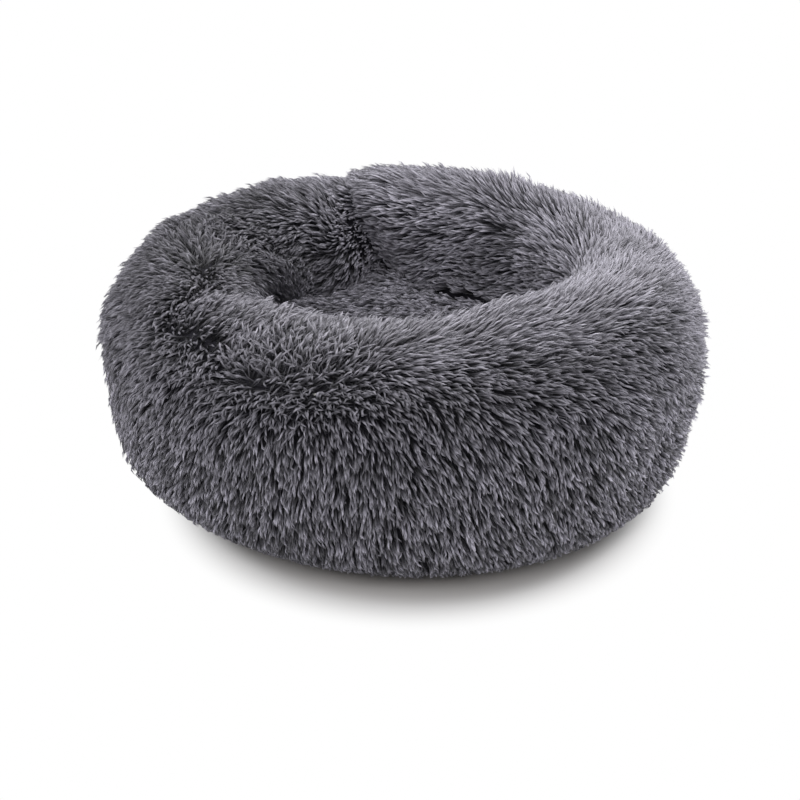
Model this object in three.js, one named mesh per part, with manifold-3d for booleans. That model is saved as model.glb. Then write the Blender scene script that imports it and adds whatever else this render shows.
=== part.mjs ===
// Round donut bed for a cat or a small dog: a stuffed ring of long plush round a stuffed sleeping
// cushion, both sewn down on a round base cloth with rubber dots moulded on it.
// Millimetres, +Z up, standing on Z = 0. Azimuths run anticlockwise from +X, seen from above.
// The outer faces of the plush pieces are where the tips of the pile lie.

import * as THREE from 'three';
import { mergeVertices } from 'three/addons/utils/BufferGeometryUtils.js';
import Module from 'manifold-3d';

const wasm = await Module();
wasm.setup();

// Overall sizes of the ring

const bedRadius = 250;            // centre of the bed to the widest part of the ring
const ringWidth = 132;            // across the ring, from its throat to its widest part
const ringHeight = 196;           // base cloth to the crest of the ring
const bulgeHeight = 118;          // base cloth to the widest part
const throatHeight = 140;         // base cloth to the narrowest part of the sleeping hollow
const footInset = 56;             // how far the sewn foot lies in from the widest part
const throatUndercut = 14;        // how far the floor seam lies back under the throat
const floorSeamHeight = 100;      // where the inner wall meets the cushion

// The ring is overstuffed and uneven, so its section changes round the bed. Each table has twelve
// shares, 30 degrees apart, of the size that it is named for: the first lies at +X, the right side,
// and the tenth at -Y, the front.

const bulgeRadiusShares = [0.996, 0.984, 0.972, 0.972, 0.972, 0.984, 0.996, 0.992, 0.98, 0.976, 0.988, 1];
const ringWidthShares = [0.95, 0.97, 1.04, 1.01, 1.02, 1.015, 1.04, 1.03, 1.04, 1.03, 1.02, 0.985];
const ringHeightShares = [0.99, 0.96, 0.98, 0.99, 0.97, 0.94, 0.93, 0.95, 0.96, 0.98, 1.02, 1.04];
const bulgeHeightShares = [1.05, 1.02, 0.98, 0.97, 0.97, 1, 1, 0.98, 0.97, 0.97, 1, 1.03];
const footInsetShares = [0.95, 0.96, 0.95, 0.95, 0.95, 1, 1.05, 1.14, 1.16, 1.04, 0.91, 0.86];

// Where the crest lies, as a share of the ring's width from its throat, and where the seam between
// the outer and the inner strip lies, as a share of the way from the widest part up to the crest

const crestPlaceShares = [0.385, 0.33, 0.29, 0.24, 0.25, 0.285, 0.395, 0.395, 0.28, 0.24, 0.25, 0.37];
const ridgeSeamShares = [0.72, 0.82, 0.9, 0.9, 0.84, 0.74, 0.62, 0.5, 0.46, 0.56, 0.6, 0.66];

// How full each quarter of the section is: 2 is an ellipse, more is squarer

const footPower = 2.1;
const shoulderPower = 1.9;
const lipPower = 2;
const undercutPower = 2;
const cushionEdgePower = 2;

// The crease at the back, where the ends of both strips are sewn across the ring

const creaseAzimuth = 110;        // degrees, where the crease crosses the crest
const creaseLean = 14;            // degrees that it leans towards the right on its way to the floor
const creaseHalfWidth = 9;        // degrees from the crease to where the ring is full again
const creaseLeanReach = 42;       // degrees over which the lean fades out
const creaseCrestDrop = 13;       // how far the crease draws the crest down
const creaseThroatDraw = 34;      // how far it draws the inner wall back
const creaseBulgeDraw = 5;        // how far it draws the outer wall in
const creaseLipShare = 0.25;      // of the lip's width that is left of its roundness in the crease
const ridgeSeamDip = 4;           // how far the seam between the strips lies below the pile

// Cloth, pile and clearances

const plushThickness = 12;        // backing and standing pile of the long plush
const seamThickness = 4;          // the plush where it is sewn flat at its edges
const baseClothThickness = 0.8;
const baseClothHem = 3;           // how far the base cloth reaches out under the foot
const gripDotHeight = 0.8;
const gripDotDiameter = 7;
const gripDotPitch = 30;
const gripDotEdgeMargin = 12;     // base cloth left bare round the dots
const seatClearance = 0.3;        // between pieces that are sewn or pressed together

// The stuffed sleeping cushion

const cushionShoulderRise = 12;   // how far its shoulder stands above the floor seam
const cushionCrownRise = 9;       // how far its middle stands above the shoulder
const cushionEdgeRoll = 30;       // how far in from its seam the cushion starts to roll down
const cushionEdgeDrop = 26;       // how far it rolls down

// Counts of facets

const sectionsRound = 44;         // sections round the bed, closer together near the crease
const crowdingShare = 0.58;       // how much closer: 0 spaces them evenly
const footSpans = 5;
const outerShoulderSpans = 4;
const innerShoulderSpans = 3;
const lipSpans = 5;
const undercutSpans = 2;
const cushionTopSpans = 4;
const cushionRollSpans = 4;
const gripDotSides = 6;

// Heights of the layers, from the floor up

const clothUnderside = gripDotHeight;
const clothTop = clothUnderside + baseClothThickness;
const stuffingUnderside = clothTop + seatClearance;

const fullTurn = 2 * Math.PI;
const quarterTurn = Math.PI / 2;
const radians = THREE.MathUtils.degToRad;

const longPlush = new THREE.MeshStandardMaterial({ color: 0x6e6d73, roughness: 1, metalness: 0 });
const stuffingFibre = new THREE.MeshStandardMaterial({ color: 0xefefec, roughness: 1, metalness: 0 });
const baseFabric = new THREE.MeshStandardMaterial({ color: 0x3b3b3f, roughness: 0.9, metalness: 0 });

// The share at an azimuth, on a smooth curve through a table's twelve shares

function shareAt(shares, azimuth) {
  const count = shares.length;
  const place = THREE.MathUtils.euclideanModulo(azimuth / fullTurn, 1) * count;
  const station = Math.floor(place);
  const f = place - station;
  const [before, here, next, after] = [-1, 0, 1, 2].map((step) => shares[(station + step + count) % count]);
  return 0.5 * (2 * here + (next - before) * f + (2 * before - 5 * here + 4 * next - after) * f ** 2
    + (3 * here - before - 3 * next + after) * f ** 3);
}

// 1 at the crease, falling to 0 over a few half widths on both sides

function nearCrease(azimuth, halfWidth) {
  const fromOpposite = azimuth - radians(creaseAzimuth) + Math.PI;
  const turn = THREE.MathUtils.euclideanModulo(fromOpposite, fullTurn) - Math.PI;
  return Math.exp(-((turn / radians(halfWidth)) ** 2));
}

// The sizes of the ring's section at an azimuth, as radii from the bed's axis and heights

function ringSection(azimuth) {
  const draw = nearCrease(azimuth, creaseHalfWidth);
  const fullBulge = bedRadius * shareAt(bulgeRadiusShares, azimuth);
  const width = ringWidth * shareAt(ringWidthShares, azimuth);
  const fullThroat = fullBulge - width;
  const throat = fullThroat + creaseThroatDraw * draw;
  const lip = width * shareAt(crestPlaceShares, azimuth);
  return {
    bulge: fullBulge - creaseBulgeDraw * draw,
    bulgeZ: stuffingUnderside + bulgeHeight * shareAt(bulgeHeightShares, azimuth),
    crest: Math.max(fullThroat + lip, throat + plushThickness + lip * creaseLipShare),
    crestZ: stuffingUnderside + ringHeight * shareAt(ringHeightShares, azimuth) - creaseCrestDrop * draw,
    ridgeAngle: quarterTurn * shareAt(ridgeSeamShares, azimuth),
    throat,
    throatZ: stuffingUnderside + throatHeight,
    foot: fullBulge - footInset * shareAt(footInsetShares, azimuth),
    seam: throat + throatUndercut,
    seamZ: stuffingUnderside + floorSeamHeight,
  };
}

// Points on one quarter of a rounded section, from one angle to another

function quarter(centreR, centreZ, reachR, reachZ, power, from, to, spans) {
  const bend = (value) => Math.sign(value) * Math.abs(value) ** (2 / power);
  return Array.from({ length: spans + 1 }, (_, i) => {
    const angle = from + (to - from) * i / spans;
    return new THREE.Vector2(
      centreR + reachR * bend(Math.cos(angle)),
      centreZ + reachZ * bend(Math.sin(angle)),
    );
  });
}

// The ring's outline from its foot over the crest to the base of its inner wall, lying depth
// inside the pile and edgeDepth inside it where the cloth is sewn flat. The two strips share it.

function ringOutline(azimuth, depth, edgeDepth) {
  const s = ringSection(azimuth);
  const shoulderR = s.bulge - s.crest - depth;
  const shoulderZ = s.crestZ - s.bulgeZ - depth;
  const footCurve = quarter(s.foot, s.bulgeZ, s.bulge - s.foot - depth,
    s.bulgeZ - stuffingUnderside - edgeDepth, footPower, -quarterTurn, 0, footSpans);
  const outerShoulder = quarter(s.crest, s.bulgeZ, shoulderR, shoulderZ, shoulderPower,
    0, s.ridgeAngle, outerShoulderSpans);
  const innerShoulder = quarter(s.crest, s.bulgeZ, shoulderR, shoulderZ, shoulderPower,
    s.ridgeAngle, quarterTurn, innerShoulderSpans);
  const lipCurve = quarter(s.crest, s.throatZ, s.crest - s.throat - depth, s.crestZ - s.throatZ - depth,
    lipPower, quarterTurn, 2 * quarterTurn, lipSpans);
  const undercutCurve = quarter(s.seam + edgeDepth, s.throatZ, s.seam + edgeDepth - s.throat - depth,
    s.throatZ - s.seamZ, undercutPower, 2 * quarterTurn, 3 * quarterTurn, undercutSpans);
  const outward = new THREE.Vector2(Math.cos(s.ridgeAngle), Math.sin(s.ridgeAngle));
  const ridge = outerShoulder.pop().addScaledVector(outward, -ridgeSeamDip);
  const alongRidge = new THREE.Vector2(-outward.y, outward.x).multiplyScalar(seatClearance / 2);
  return {
    outerStrip: [...footCurve, ...outerShoulder.slice(1), ridge.clone().sub(alongRidge)],
    innerStrip: [ridge.clone().add(alongRidge), ...innerShoulder.slice(1), ...lipCurve.slice(1),
      ...undercutCurve.slice(1), new THREE.Vector2(s.seam + edgeDepth, stuffingUnderside)],
  };
}

// Azimuths of the sections, in order from the crease round to the crease again

function sectionAzimuths() {
  return Array.from({ length: sectionsRound + 1 }, (_, i) => {
    const turn = i / sectionsRound;
    return radians(creaseAzimuth) + fullTurn * turn - crowdingShare * Math.sin(fullTurn * turn);
  });
}

// Puts an outline point in space. Inside the crest, what lies near the crease leans more the
// lower it lies.

function placed(point, azimuth) {
  const s = ringSection(azimuth);
  const inside = 1 - THREE.MathUtils.smoothstep(point.x, s.crest, (s.crest + s.foot) / 2);
  const below = THREE.MathUtils.smoothstep(s.crestZ - point.y, 0, s.crestZ - s.seamZ);
  const angle = azimuth - radians(creaseLean) * nearCrease(azimuth, creaseLeanReach) * inside * below;
  return new THREE.Vector3(point.x * Math.cos(angle), point.x * Math.sin(angle), point.y);
}

// Joins closed loops of points into one skin, each loop to the next. Each four-sided face is split
// along its shorter diagonal, so faces that lie a clearance apart are split alike, and triangles
// that shrink to nothing on the bed's axis are left out.

function loft(loops, closedRound) {
  const size = loops[0].length;
  const corners = loops.flat();
  const faces = [];
  const addFace = (a, b, c) => {
    const [p, q, r] = [corners[a], corners[b], corners[c]];
    if (!p.equals(q) && !q.equals(r) && !r.equals(p)) faces.push(p, q, r);
  };
  const addQuad = (a, b, c, d) => {
    if (corners[a].distanceTo(corners[c]) < corners[b].distanceTo(corners[d])) {
      addFace(a, b, c);
      addFace(a, c, d);
    } else {
      addFace(b, c, d);
      addFace(b, d, a);
    }
  };
  const steps = closedRound ? loops.length : loops.length - 1;
  for (let i = 0; i < steps; i += 1) {
    const here = i * size;
    const next = ((i + 1) % loops.length) * size;
    for (let j = 0; j < size; j += 1) {
      const k = (j + 1) % size;
      addQuad(here + j, next + j, next + k, here + k);
    }
  }
  if (!closedRound) {
    const last = (loops.length - 1) * size;
    for (let j = 0; j < size / 2 - 1; j += 1) {
      const mirror = size - 1 - j;
      addQuad(j, j + 1, mirror - 1, mirror);
      addQuad(last + mirror, last + mirror - 1, last + j + 1, last + j);
    }
  }
  const geometry = new THREE.BufferGeometry().setFromPoints(faces);
  geometry.computeVertexNormals();
  return geometry;
}

// A strip of plush round the ring: its pile face one way and its back the other way. It stops
// half a clearance short of the crease at both ends, where the ends meet.

function stripGeometry(stripName) {
  const azimuths = sectionAzimuths();
  const halfGap = seatClearance / 2 / ringSection(azimuths[0]).throat;
  azimuths[0] += halfGap;
  azimuths[sectionsRound] -= halfGap;
  return loft(azimuths.map((azimuth) => {
    const pileFace = ringOutline(azimuth, 0, 0)[stripName];
    const back = ringOutline(azimuth, plushThickness, seamThickness)[stripName];
    return [...pileFace, ...back.reverse()].map((point) => placed(point, azimuth));
  }), false);
}

// The ring's stuffing fills the strips and stands on the base cloth

function ringFillGeometry() {
  const depth = plushThickness + seatClearance;
  const edgeDepth = seamThickness + seatClearance;
  return loft(sectionAzimuths().slice(1).map((azimuth) => {
    const { outerStrip, innerStrip } = ringOutline(azimuth, depth, edgeDepth);
    const foot = ringSection(azimuth).foot - seatClearance;
    const upright = [new THREE.Vector2(foot, stuffingUnderside),
      new THREE.Vector2(foot, stuffingUnderside + edgeDepth)];
    return [...upright, ...outerStrip.slice(1, -1), ...innerStrip].map((point) => placed(point, azimuth));
  }), true);
}

// The cushion's outline from its crown down to the base cloth, lying depth inside its pile

function cushionOutline(azimuth, depth, edgeDepth) {
  const reach = ringSection(azimuth).seam - seatClearance;
  const shoulderR = reach - cushionEdgeRoll;
  const shoulderZ = stuffingUnderside + floorSeamHeight + cushionShoulderRise;
  const crown = Array.from({ length: cushionTopSpans }, (_, i) => {
    const share = i / cushionTopSpans;
    return new THREE.Vector2(shoulderR * share, shoulderZ + cushionCrownRise * (1 - share ** 2) - depth);
  });
  const roll = quarter(shoulderR, shoulderZ - cushionEdgeDrop, cushionEdgeRoll - edgeDepth,
    cushionEdgeDrop - depth, cushionEdgePower, quarterTurn, 0, cushionRollSpans);
  return [...crown, ...roll, new THREE.Vector2(reach - edgeDepth, stuffingUnderside)];
}

// The cushion's cover is a cap of plush that reaches down to the base cloth inside the ring

function cushionCoverGeometry() {
  return loft(sectionAzimuths().slice(1).map((azimuth) => {
    const pileFace = cushionOutline(azimuth, 0, 0);
    const back = cushionOutline(azimuth, plushThickness, seamThickness);
    return [...pileFace.reverse(), ...back].map((point) => placed(point, azimuth));
  }), true);
}

function cushionFillGeometry() {
  return loft(sectionAzimuths().slice(1).map((azimuth) => {
    const outline = cushionOutline(azimuth, plushThickness + seatClearance, seamThickness + seatClearance);
    const middle = new THREE.Vector2(0, stuffingUnderside);
    return [middle, ...outline.reverse()].map((point) => placed(point, azimuth));
  }), true);
}

function toSolid(geometry) {
  geometry.deleteAttribute('normal');
  geometry.deleteAttribute('uv');
  const merged = mergeVertices(geometry);
  return new wasm.Manifold(new wasm.Mesh({
    numProp: 3,
    vertProperties: new Float32Array(merged.attributes.position.array),
    triVerts: new Uint32Array(merged.index.array),
  }));
}

function fromSolid(solid) {
  const { vertProperties, triVerts } = solid.getMesh();
  const geometry = new THREE.BufferGeometry();
  geometry.setAttribute('position', new THREE.BufferAttribute(vertProperties, 3));
  geometry.setIndex(new THREE.BufferAttribute(triVerts, 1));
  const faceted = geometry.toNonIndexed();
  faceted.computeVertexNormals();
  return faceted;
}

// The middle of each grip dot: rows half a pitch apart, as far out as the margin allows

function gripDotPlaces(centre) {
  const rowPitch = gripDotPitch * Math.sin(radians(60));
  const rows = Math.ceil(bedRadius / rowPitch);
  const columns = Math.ceil(bedRadius / gripDotPitch);
  const places = [];
  for (let row = -rows; row <= rows; row += 1) {
    const shift = row % 2 === 0 ? 0 : gripDotPitch / 2;
    for (let column = -columns; column <= columns; column += 1) {
      const x = centre.x + column * gripDotPitch + shift;
      const y = centre.y + row * rowPitch;
      const reach = ringSection(Math.atan2(y, x)).foot - gripDotEdgeMargin - gripDotDiameter / 2;
      if (Math.hypot(x, y) <= reach) places.push([x, y]);
    }
  }
  return places;
}

// The base cloth follows the foot of the ring. Its dots are moulded through the weave.

function baseClothGeometry(centre) {
  const outline = sectionAzimuths().slice(1).map((azimuth) => {
    const reach = ringSection(azimuth).foot + baseClothHem;
    return new THREE.Vector2(reach * Math.cos(azimuth), reach * Math.sin(azimuth));
  });
  const cloth = new THREE.ExtrudeGeometry(new THREE.Shape(outline),
    { depth: baseClothThickness, bevelEnabled: false }).translate(0, 0, clothUnderside);
  const dotLength = gripDotHeight + baseClothThickness / 2;
  const dots = gripDotPlaces(centre).map(([x, y]) => toSolid(
    new THREE.CylinderGeometry(gripDotDiameter / 2, gripDotDiameter / 2, dotLength, gripDotSides)
      .rotateX(quarterTurn)
      .translate(x, y, dotLength / 2)));
  return fromSolid(wasm.Manifold.union([toSolid(cloth), ...dots]));
}

function addPiece(bed, name, geometry, material) {
  const piece = new THREE.Mesh(geometry, material);
  piece.name = name;
  bed.add(piece);
}

const outerStrip = stripGeometry('outerStrip');
outerStrip.computeBoundingBox();
const footprintCentre = outerStrip.boundingBox.getCenter(new THREE.Vector3());

const bed = new THREE.Group();
addPiece(bed, 'outer_strip', outerStrip, longPlush.clone());
addPiece(bed, 'inner_strip', stripGeometry('innerStrip'), longPlush.clone());
addPiece(bed, 'ring_fill', ringFillGeometry(), stuffingFibre.clone());
addPiece(bed, 'cushion_cover', cushionCoverGeometry(), longPlush.clone());
addPiece(bed, 'cushion_fill', cushionFillGeometry(), stuffingFibre.clone());
addPiece(bed, 'base_cloth', baseClothGeometry(footprintCentre), baseFabric);
bed.position.set(-footprintCentre.x, -footprintCentre.y, 0);

export default bed;
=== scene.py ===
import math

import bmesh
import bpy
import numpy as np
from bpy.props import FloatProperty, FloatVectorProperty, IntProperty, PointerProperty
from mathutils import Matrix, Vector
from mathutils.bvhtree import BVHTree
from mathutils.geometry import convex_hull_2d
from mathutils.kdtree import KDTree


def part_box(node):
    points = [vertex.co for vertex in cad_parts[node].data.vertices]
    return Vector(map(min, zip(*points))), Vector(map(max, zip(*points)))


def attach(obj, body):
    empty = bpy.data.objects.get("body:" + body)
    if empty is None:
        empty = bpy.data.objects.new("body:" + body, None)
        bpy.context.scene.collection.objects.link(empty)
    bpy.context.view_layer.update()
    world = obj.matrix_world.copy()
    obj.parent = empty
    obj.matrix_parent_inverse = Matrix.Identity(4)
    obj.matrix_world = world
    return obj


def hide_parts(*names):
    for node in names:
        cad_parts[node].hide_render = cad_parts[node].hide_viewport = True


bl_info = {
    "name": "Donut pet bed",
    "version": (1, 0, 0),
    "blender": (4, 5, 0),
    "location": "View3D > Sidebar > Pet bed",
    "description": "Dresses a round stuffed pet bed in long plush, with stuffing, base cloth and stitches",
    "category": "Object",
}

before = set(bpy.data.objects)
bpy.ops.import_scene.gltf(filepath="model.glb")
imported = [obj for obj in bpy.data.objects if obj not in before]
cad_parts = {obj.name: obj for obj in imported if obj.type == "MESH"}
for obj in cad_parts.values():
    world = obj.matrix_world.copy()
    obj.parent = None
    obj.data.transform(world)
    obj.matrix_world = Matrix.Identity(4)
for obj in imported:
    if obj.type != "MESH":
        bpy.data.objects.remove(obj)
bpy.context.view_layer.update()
MM = 0.001


def linear(hex_colour):
    """An sRGB colour written as six hex digits, as linear light."""
    shares = [int(hex_colour[i : i + 2], 16) / 255 for i in (0, 2, 4)]
    return tuple(s / 12.92 if s <= 0.04045 else ((s + 0.055) / 1.055) ** 2.4 for s in shares)


# Sizes and colours


def length_setting(name, description, default, least, most):
    """A setting that is a length, from its values in mm."""
    return FloatProperty(
        name=name, description=description, default=default * MM, min=least * MM, max=most * MM,
        unit="LENGTH", subtype="DISTANCE")


def colour_setting(name, description, hex_colour):
    """A setting that is a colour."""
    return FloatVectorProperty(
        name=name, description=description, default=linear(hex_colour), size=3, min=0, max=1, subtype="COLOR")


class PileSettings(bpy.types.PropertyGroup):
    """The long plush that covers the ring and the cushion."""

    lock_length: length_setting("Lock length", "Length of a lock of pile along its own curve", 18.5, 8, 35)
    lock_spacing: length_setting(
        "Lock spacing", "Distance between the roots of neighbouring locks", 3.0, 2, 10)
    strand_width: length_setting(
        "Strand width", "Width of one of the three strands that make a lock", 1.0, 0.4, 4)
    hair_width: length_setting(
        "Stray hair width", "Width of a thin hair that lies among the locks", 0.9, 0.2, 1.5)
    hair_spacing: length_setting(
        "Stray hair spacing", "Distance between the roots of neighbouring stray hairs", 2.8, 2, 10)
    streak_width: length_setting(
        "Streak width", "Width of the streaks that neighbouring locks draw together into", 3.9, 2, 15)
    streak_length: length_setting(
        "Streak length", "Length of the streaks that neighbouring locks draw together into", 22, 4, 40)
    root_colour: colour_setting("Root colour", "Colour of the pile at its roots", "1b1924")
    body_colour: colour_setting("Body colour", "Colour of the pile half way along", "aca9b5")
    tip_colour: colour_setting("Tip colour", "Colour of the pile at its tips", "d6d2dd")
    seed: IntProperty(name="Seed", description="Start of the pile's chance values", default=7, min=0)


class BaseSettings(bpy.types.PropertyGroup):
    """The cloth under the bed, its grip dots and the sewing."""

    cloth_colour: colour_setting("Cloth colour", "Colour of the woven base cloth", "37373b")
    dot_colour: colour_setting("Dot colour", "Colour of the rubber grip dots", "1d1d1f")
    thread_colour: colour_setting("Thread colour", "Colour of the sewing thread", "4a4a4f")
    stitch_length: length_setting("Stitch length", "Length of one visible stitch", 3.2, 1.5, 8)
    stitch_gap: length_setting("Stitch gap", "Distance between the ends of two stitches", 1.0, 0.3, 4)
    thread_width: length_setting("Thread width", "Width of the sewing thread", 0.6, 0.2, 1.5)


class StageSettings(bpy.types.PropertyGroup):
    """The camera, the lamps and the floor."""

    distance: length_setting(
        "Camera distance", "Distance from the camera to the middle of the bed", 1800, 500, 6000)
    elevation: FloatProperty(
        name="Camera elevation", description="Angle of the camera above the floor",
        default=math.radians(27), min=0, max=math.radians(89), unit="ROTATION", subtype="ANGLE")
    lens: FloatProperty(
        name="Lens", description="Focal length on a sensor 36 mm wide", default=98.5, min=20, max=300)
    key_power: FloatProperty(
        name="Key lamp power", default=42, min=0, max=500,
        description="Power of the lamp above the right and the back of the bed, in watts")
    room_light: FloatProperty(
        name="Room light", default=0.43, min=0, max=2,
        description="Strength of the even light from all round")


# Where things are on the bed

RING_CORE = Vector((0.185, 0, 0.105))  # distance from the bed's middle and height of the ring's core
BED_MIDDLE = Vector((0, 0, 0.09))  # what the camera's distance is measured to
PICTURE_AIM = Vector((-0.0021, 0, 0.0503))  # the point at the middle of the picture
PICTURE_SIDE = 800  # pixels of the square picture
PICTURE_BED = (PICTURE_SIDE / 2, PICTURE_SIDE * 0.46)  # the bed's middle in the picture
SENSOR_WIDTH = 36  # of the camera, in mm
INWARD_SHARE = 0.02  # how far a place just past the bed's edge in the picture is moved towards its middle
CLEAR_OF_RING = 0.2  # from the ring's core to outside it
CLEAR_OF_BED = 0.4  # from the bed's middle to outside it
# Where the foot's outline is measured: degrees from place to place, the lowest level and the step in mm, and
# the number of levels. A ray can slip in at the cross seam, so one is also sent from each side.
FOOT_TURN, FOOT_LOWEST, FOOT_STEP, FOOT_LEVELS = 5, 2, 5, 9
FOOT_ASIDE = 2
FREE_HEIGHT, FREE_FADE = 36 * MM, 20 * MM  # from this height up, pile may spread past the foot's outline
TINY = 1e-9  # keeps a division from failing


def camera_place(settings):
    """Where the camera stands, in front of the bed and above it."""
    away = Vector((0, -math.cos(settings.elevation), math.sin(settings.elevation)))
    return BED_MIDDLE + away * settings.distance


def camera_axes(settings):
    """The picture's right, up and back directions."""
    back = (camera_place(settings) - PICTURE_AIM).normalized()
    right = Vector((0, 0, 1)).cross(back).normalized()
    return right, back.cross(right), back


def outer_skin():
    """A search tree of the faces that the pile's tips reach, with the strip that each face belongs to."""
    corners, faces, strips = [], [], []
    for name in ("outer_strip", "inner_strip", "cushion_cover"):
        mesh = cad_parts[name].data
        start = len(corners)
        corners += [v.co.copy() for v in mesh.vertices]
        faces += [[start + i for i in p.vertices] for p in mesh.polygons]
        strips += [name] * len(mesh.polygons)
    return BVHTree.FromPolygons(corners, faces), strips


SKIN, SKIN_STRIPS = outer_skin()


def on_bed(x, y):
    """The point of the bed seen at a place in the picture, its normal, and the piece it is on."""
    settings = bpy.context.scene.petbed_stage
    right, up, back = camera_axes(settings)
    reach = PICTURE_SIDE * settings.lens / SENSOR_WIDTH
    ray = right * (x - PICTURE_SIDE / 2) - up * (y - PICTURE_SIDE / 2) - back * reach
    place, normal, face, _ = SKIN.ray_cast(camera_place(settings), ray.normalized())
    if place is None:
        return on_bed(x + (PICTURE_BED[0] - x) * INWARD_SHARE, y + (PICTURE_BED[1] - y) * INWARD_SHARE)
    return place, normal, SKIN_STRIPS[face]


def on_ring(azimuth, turn):
    """The ring's surface at an azimuth and at a turn round its core: 0 outside, 90 the crest, 180 inside."""
    a, t = math.radians(azimuth), math.radians(turn)
    core = Vector((RING_CORE.x * math.cos(a), RING_CORE.x * math.sin(a), RING_CORE.z))
    way = Vector((math.cos(t) * math.cos(a), math.cos(t) * math.sin(a), math.sin(t)))
    place, normal, face, _ = SKIN.ray_cast(core + way * CLEAR_OF_RING, -way)
    return place, normal, SKIN_STRIPS[face]


def azimuths(points):
    """Each point's azimuth round the bed, in degrees from 0 to 360."""
    return np.degrees(np.arctan2(points[..., 1], points[..., 0])) % 360


def rising(values, start, width):
    """0 up to the start, and 1 from a width above it."""
    return np.clip((values - start) / width, 0, 1)


def sinking(values, start, width):
    """0 from the start up, and 1 from a width below it."""
    return np.clip((start - values) / width, 0, 1)


def falling(away, width):
    """A soft bell: 1 at a distance of nothing, 0.6 at one width."""
    return np.exp(-(away**2) / (2 * width**2))


def foot_radii():
    """The bed's radius near the floor: a row for each place round it, with a value for each level."""
    radii = np.zeros((360 // FOOT_TURN, FOOT_LEVELS))
    for row in range(len(radii)):
        for aside in (-FOOT_ASIDE, 0, FOOT_ASIDE):
            azimuth = math.radians(FOOT_TURN * row + aside)
            way = Vector((math.cos(azimuth), math.sin(azimuth), 0))
            for level in range(FOOT_LEVELS):
                height = (FOOT_LOWEST + FOOT_STEP * level) * MM
                place = SKIN.ray_cast(way * CLEAR_OF_BED + Vector((0, 0, height)), -way)[0]
                radii[row, level] = max(radii[row, level], place.xy.length)
    return radii


FOOT = foot_radii()


def tucked(lines):
    """Pile whose points near the floor are drawn back to the outline of the bed's foot."""
    radius = np.linalg.norm(lines[..., :2], axis=-1) + TINY
    around = azimuths(lines) / FOOT_TURN
    upward = np.clip((lines[..., 2] / MM - FOOT_LOWEST) / FOOT_STEP, 0, FOOT_LEVELS - 1.01)
    row, level = around.astype(int) % len(FOOT), upward.astype(int)
    a, b = around % 1, upward % 1
    after = (row + 1) % len(FOOT)
    edge = (FOOT[row, level] * (1 - a) + FOOT[after, level] * a) * (1 - b)
    edge += (FOOT[row, level + 1] * (1 - a) + FOOT[after, level + 1] * a) * b
    past = np.maximum(radius - edge, 0) * sinking(lines[..., 2], FREE_HEIGHT, FREE_FADE)
    lines[..., :2] *= (1 - past / radius)[..., None]
    return lines


# Where the photograph shows how the pile lies: picture across, picture down, and the way the tips point,
# counted anticlockwise from the right. All were read one by one.
FRONT_WALL_LAY = [
    (470, 364, -15), (496, 371, -20), (515, 389, -28), (483, 382, -25), (445, 371, -30), (419, 369, -35),
    (385, 382, -48), (406, 389, -55), (375, 376, -45), (394, 402, -58), (432, 396, -55), (457, 396, -45),
    (496, 402, -38), (355, 408, -72), (343, 427, -80), (381, 427, -68), (419, 427, -68), (457, 427, -60),
    (496, 427, -52), (355, 466, -80), (406, 466, -70), (457, 459, -62), (502, 466, -58), (508, 500, -60),
    (457, 500, -65), (394, 500, -72), (343, 500, -85), (430, 545, -70), (350, 545, -83), (500, 545, -63),
    (270, 545, -95), (258, 392, -105), (275, 415, -98), (278, 440, -96), (294, 402, -80), (309, 389, -55),
    (329, 427, -83), (329, 478, -87), (278, 478, -97), (226, 478, -105), (239, 402, -132), (226, 387, -150),
    (201, 440, -108), (175, 466, -112), (175, 415, -120), (158, 427, -122), (163, 478, -112),
    (188, 357, -122), (175, 376, -124), (163, 364, -135), (163, 342, -150), (169, 329, -155), (182, 336, -70),
    (220, 530, -105), (150, 400, -128), (135, 380, -132),
]
RIGHT_WALL_LAY = [
    (578, 352, -3), (603, 364, -9), (627, 370, -20), (560, 388, -18), (578, 394, -32), (578, 410, -50),
    (603, 401, -47), (615, 413, -50), (566, 425, -60), (542, 461, -62), (554, 497, -66), (591, 485, -62),
    (627, 473, -56), (639, 490, -55), (651, 461, -50), (663, 413, -42), (675, 358, -27), (680, 388, -42),
    (560, 530, -66), (600, 515, -62), (640, 330, -5), (655, 345, -12), (520, 430, -55), (540, 400, -35),
]
FRONT_CREST_LAY = [
    (207, 304, 50), (226, 308, 42), (201, 314, 15), (245, 305, 45), (251, 319, 38), (239, 327, 30),
    (258, 336, 77), (255, 357, 95), (271, 351, 58), (284, 350, 115), (278, 332, 65), (303, 323, 55),
    (316, 345, 60), (330, 330, 65), (341, 340, 60), (352, 352, 85), (362, 330, 60), (370, 345, 50),
    (387, 328, 45), (406, 328, 36), (419, 320, 48), (445, 316, 50), (445, 328, 33), (419, 340, 27),
    (457, 332, 25), (470, 312, 42), (496, 312, 38), (483, 323, 30), (521, 308, 36), (508, 325, 22),
    (470, 342, 13), (445, 347, 7), (496, 334, 17), (521, 333, 14), (406, 353, 2), (432, 354, 0),
    (380, 352, 20),
]
RIGHT_CREST_LAY = [
    (546, 297, 48), (574, 296, 45), (597, 275, 53), (609, 290, 38), (560, 320, 30), (586, 331, 17),
    (609, 313, 22), (632, 296, 27), (655, 296, 12), (643, 313, 5), (610, 340, 3), (550, 340, 12),
    (603, 232, 65), (615, 240, 60), (632, 245, 57), (655, 252, 50), (592, 222, 90), (620, 262, 50),
    (665, 275, 30), (640, 275, 40),
]
BACK_CREST_LAY = [
    (557, 216, 122), (545, 197, 102), (518, 188, 104), (483, 178, 112), (449, 174, 135), (426, 174, 143),
    (391, 178, 152), (541, 205, 112), (523, 211, 118), (575, 205, 105), (193, 233, 122), (211, 234, 108),
    (170, 256, 175), (159, 273, 190), (147, 296, 203), (410, 190, 160), (450, 190, 158),
]
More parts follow.
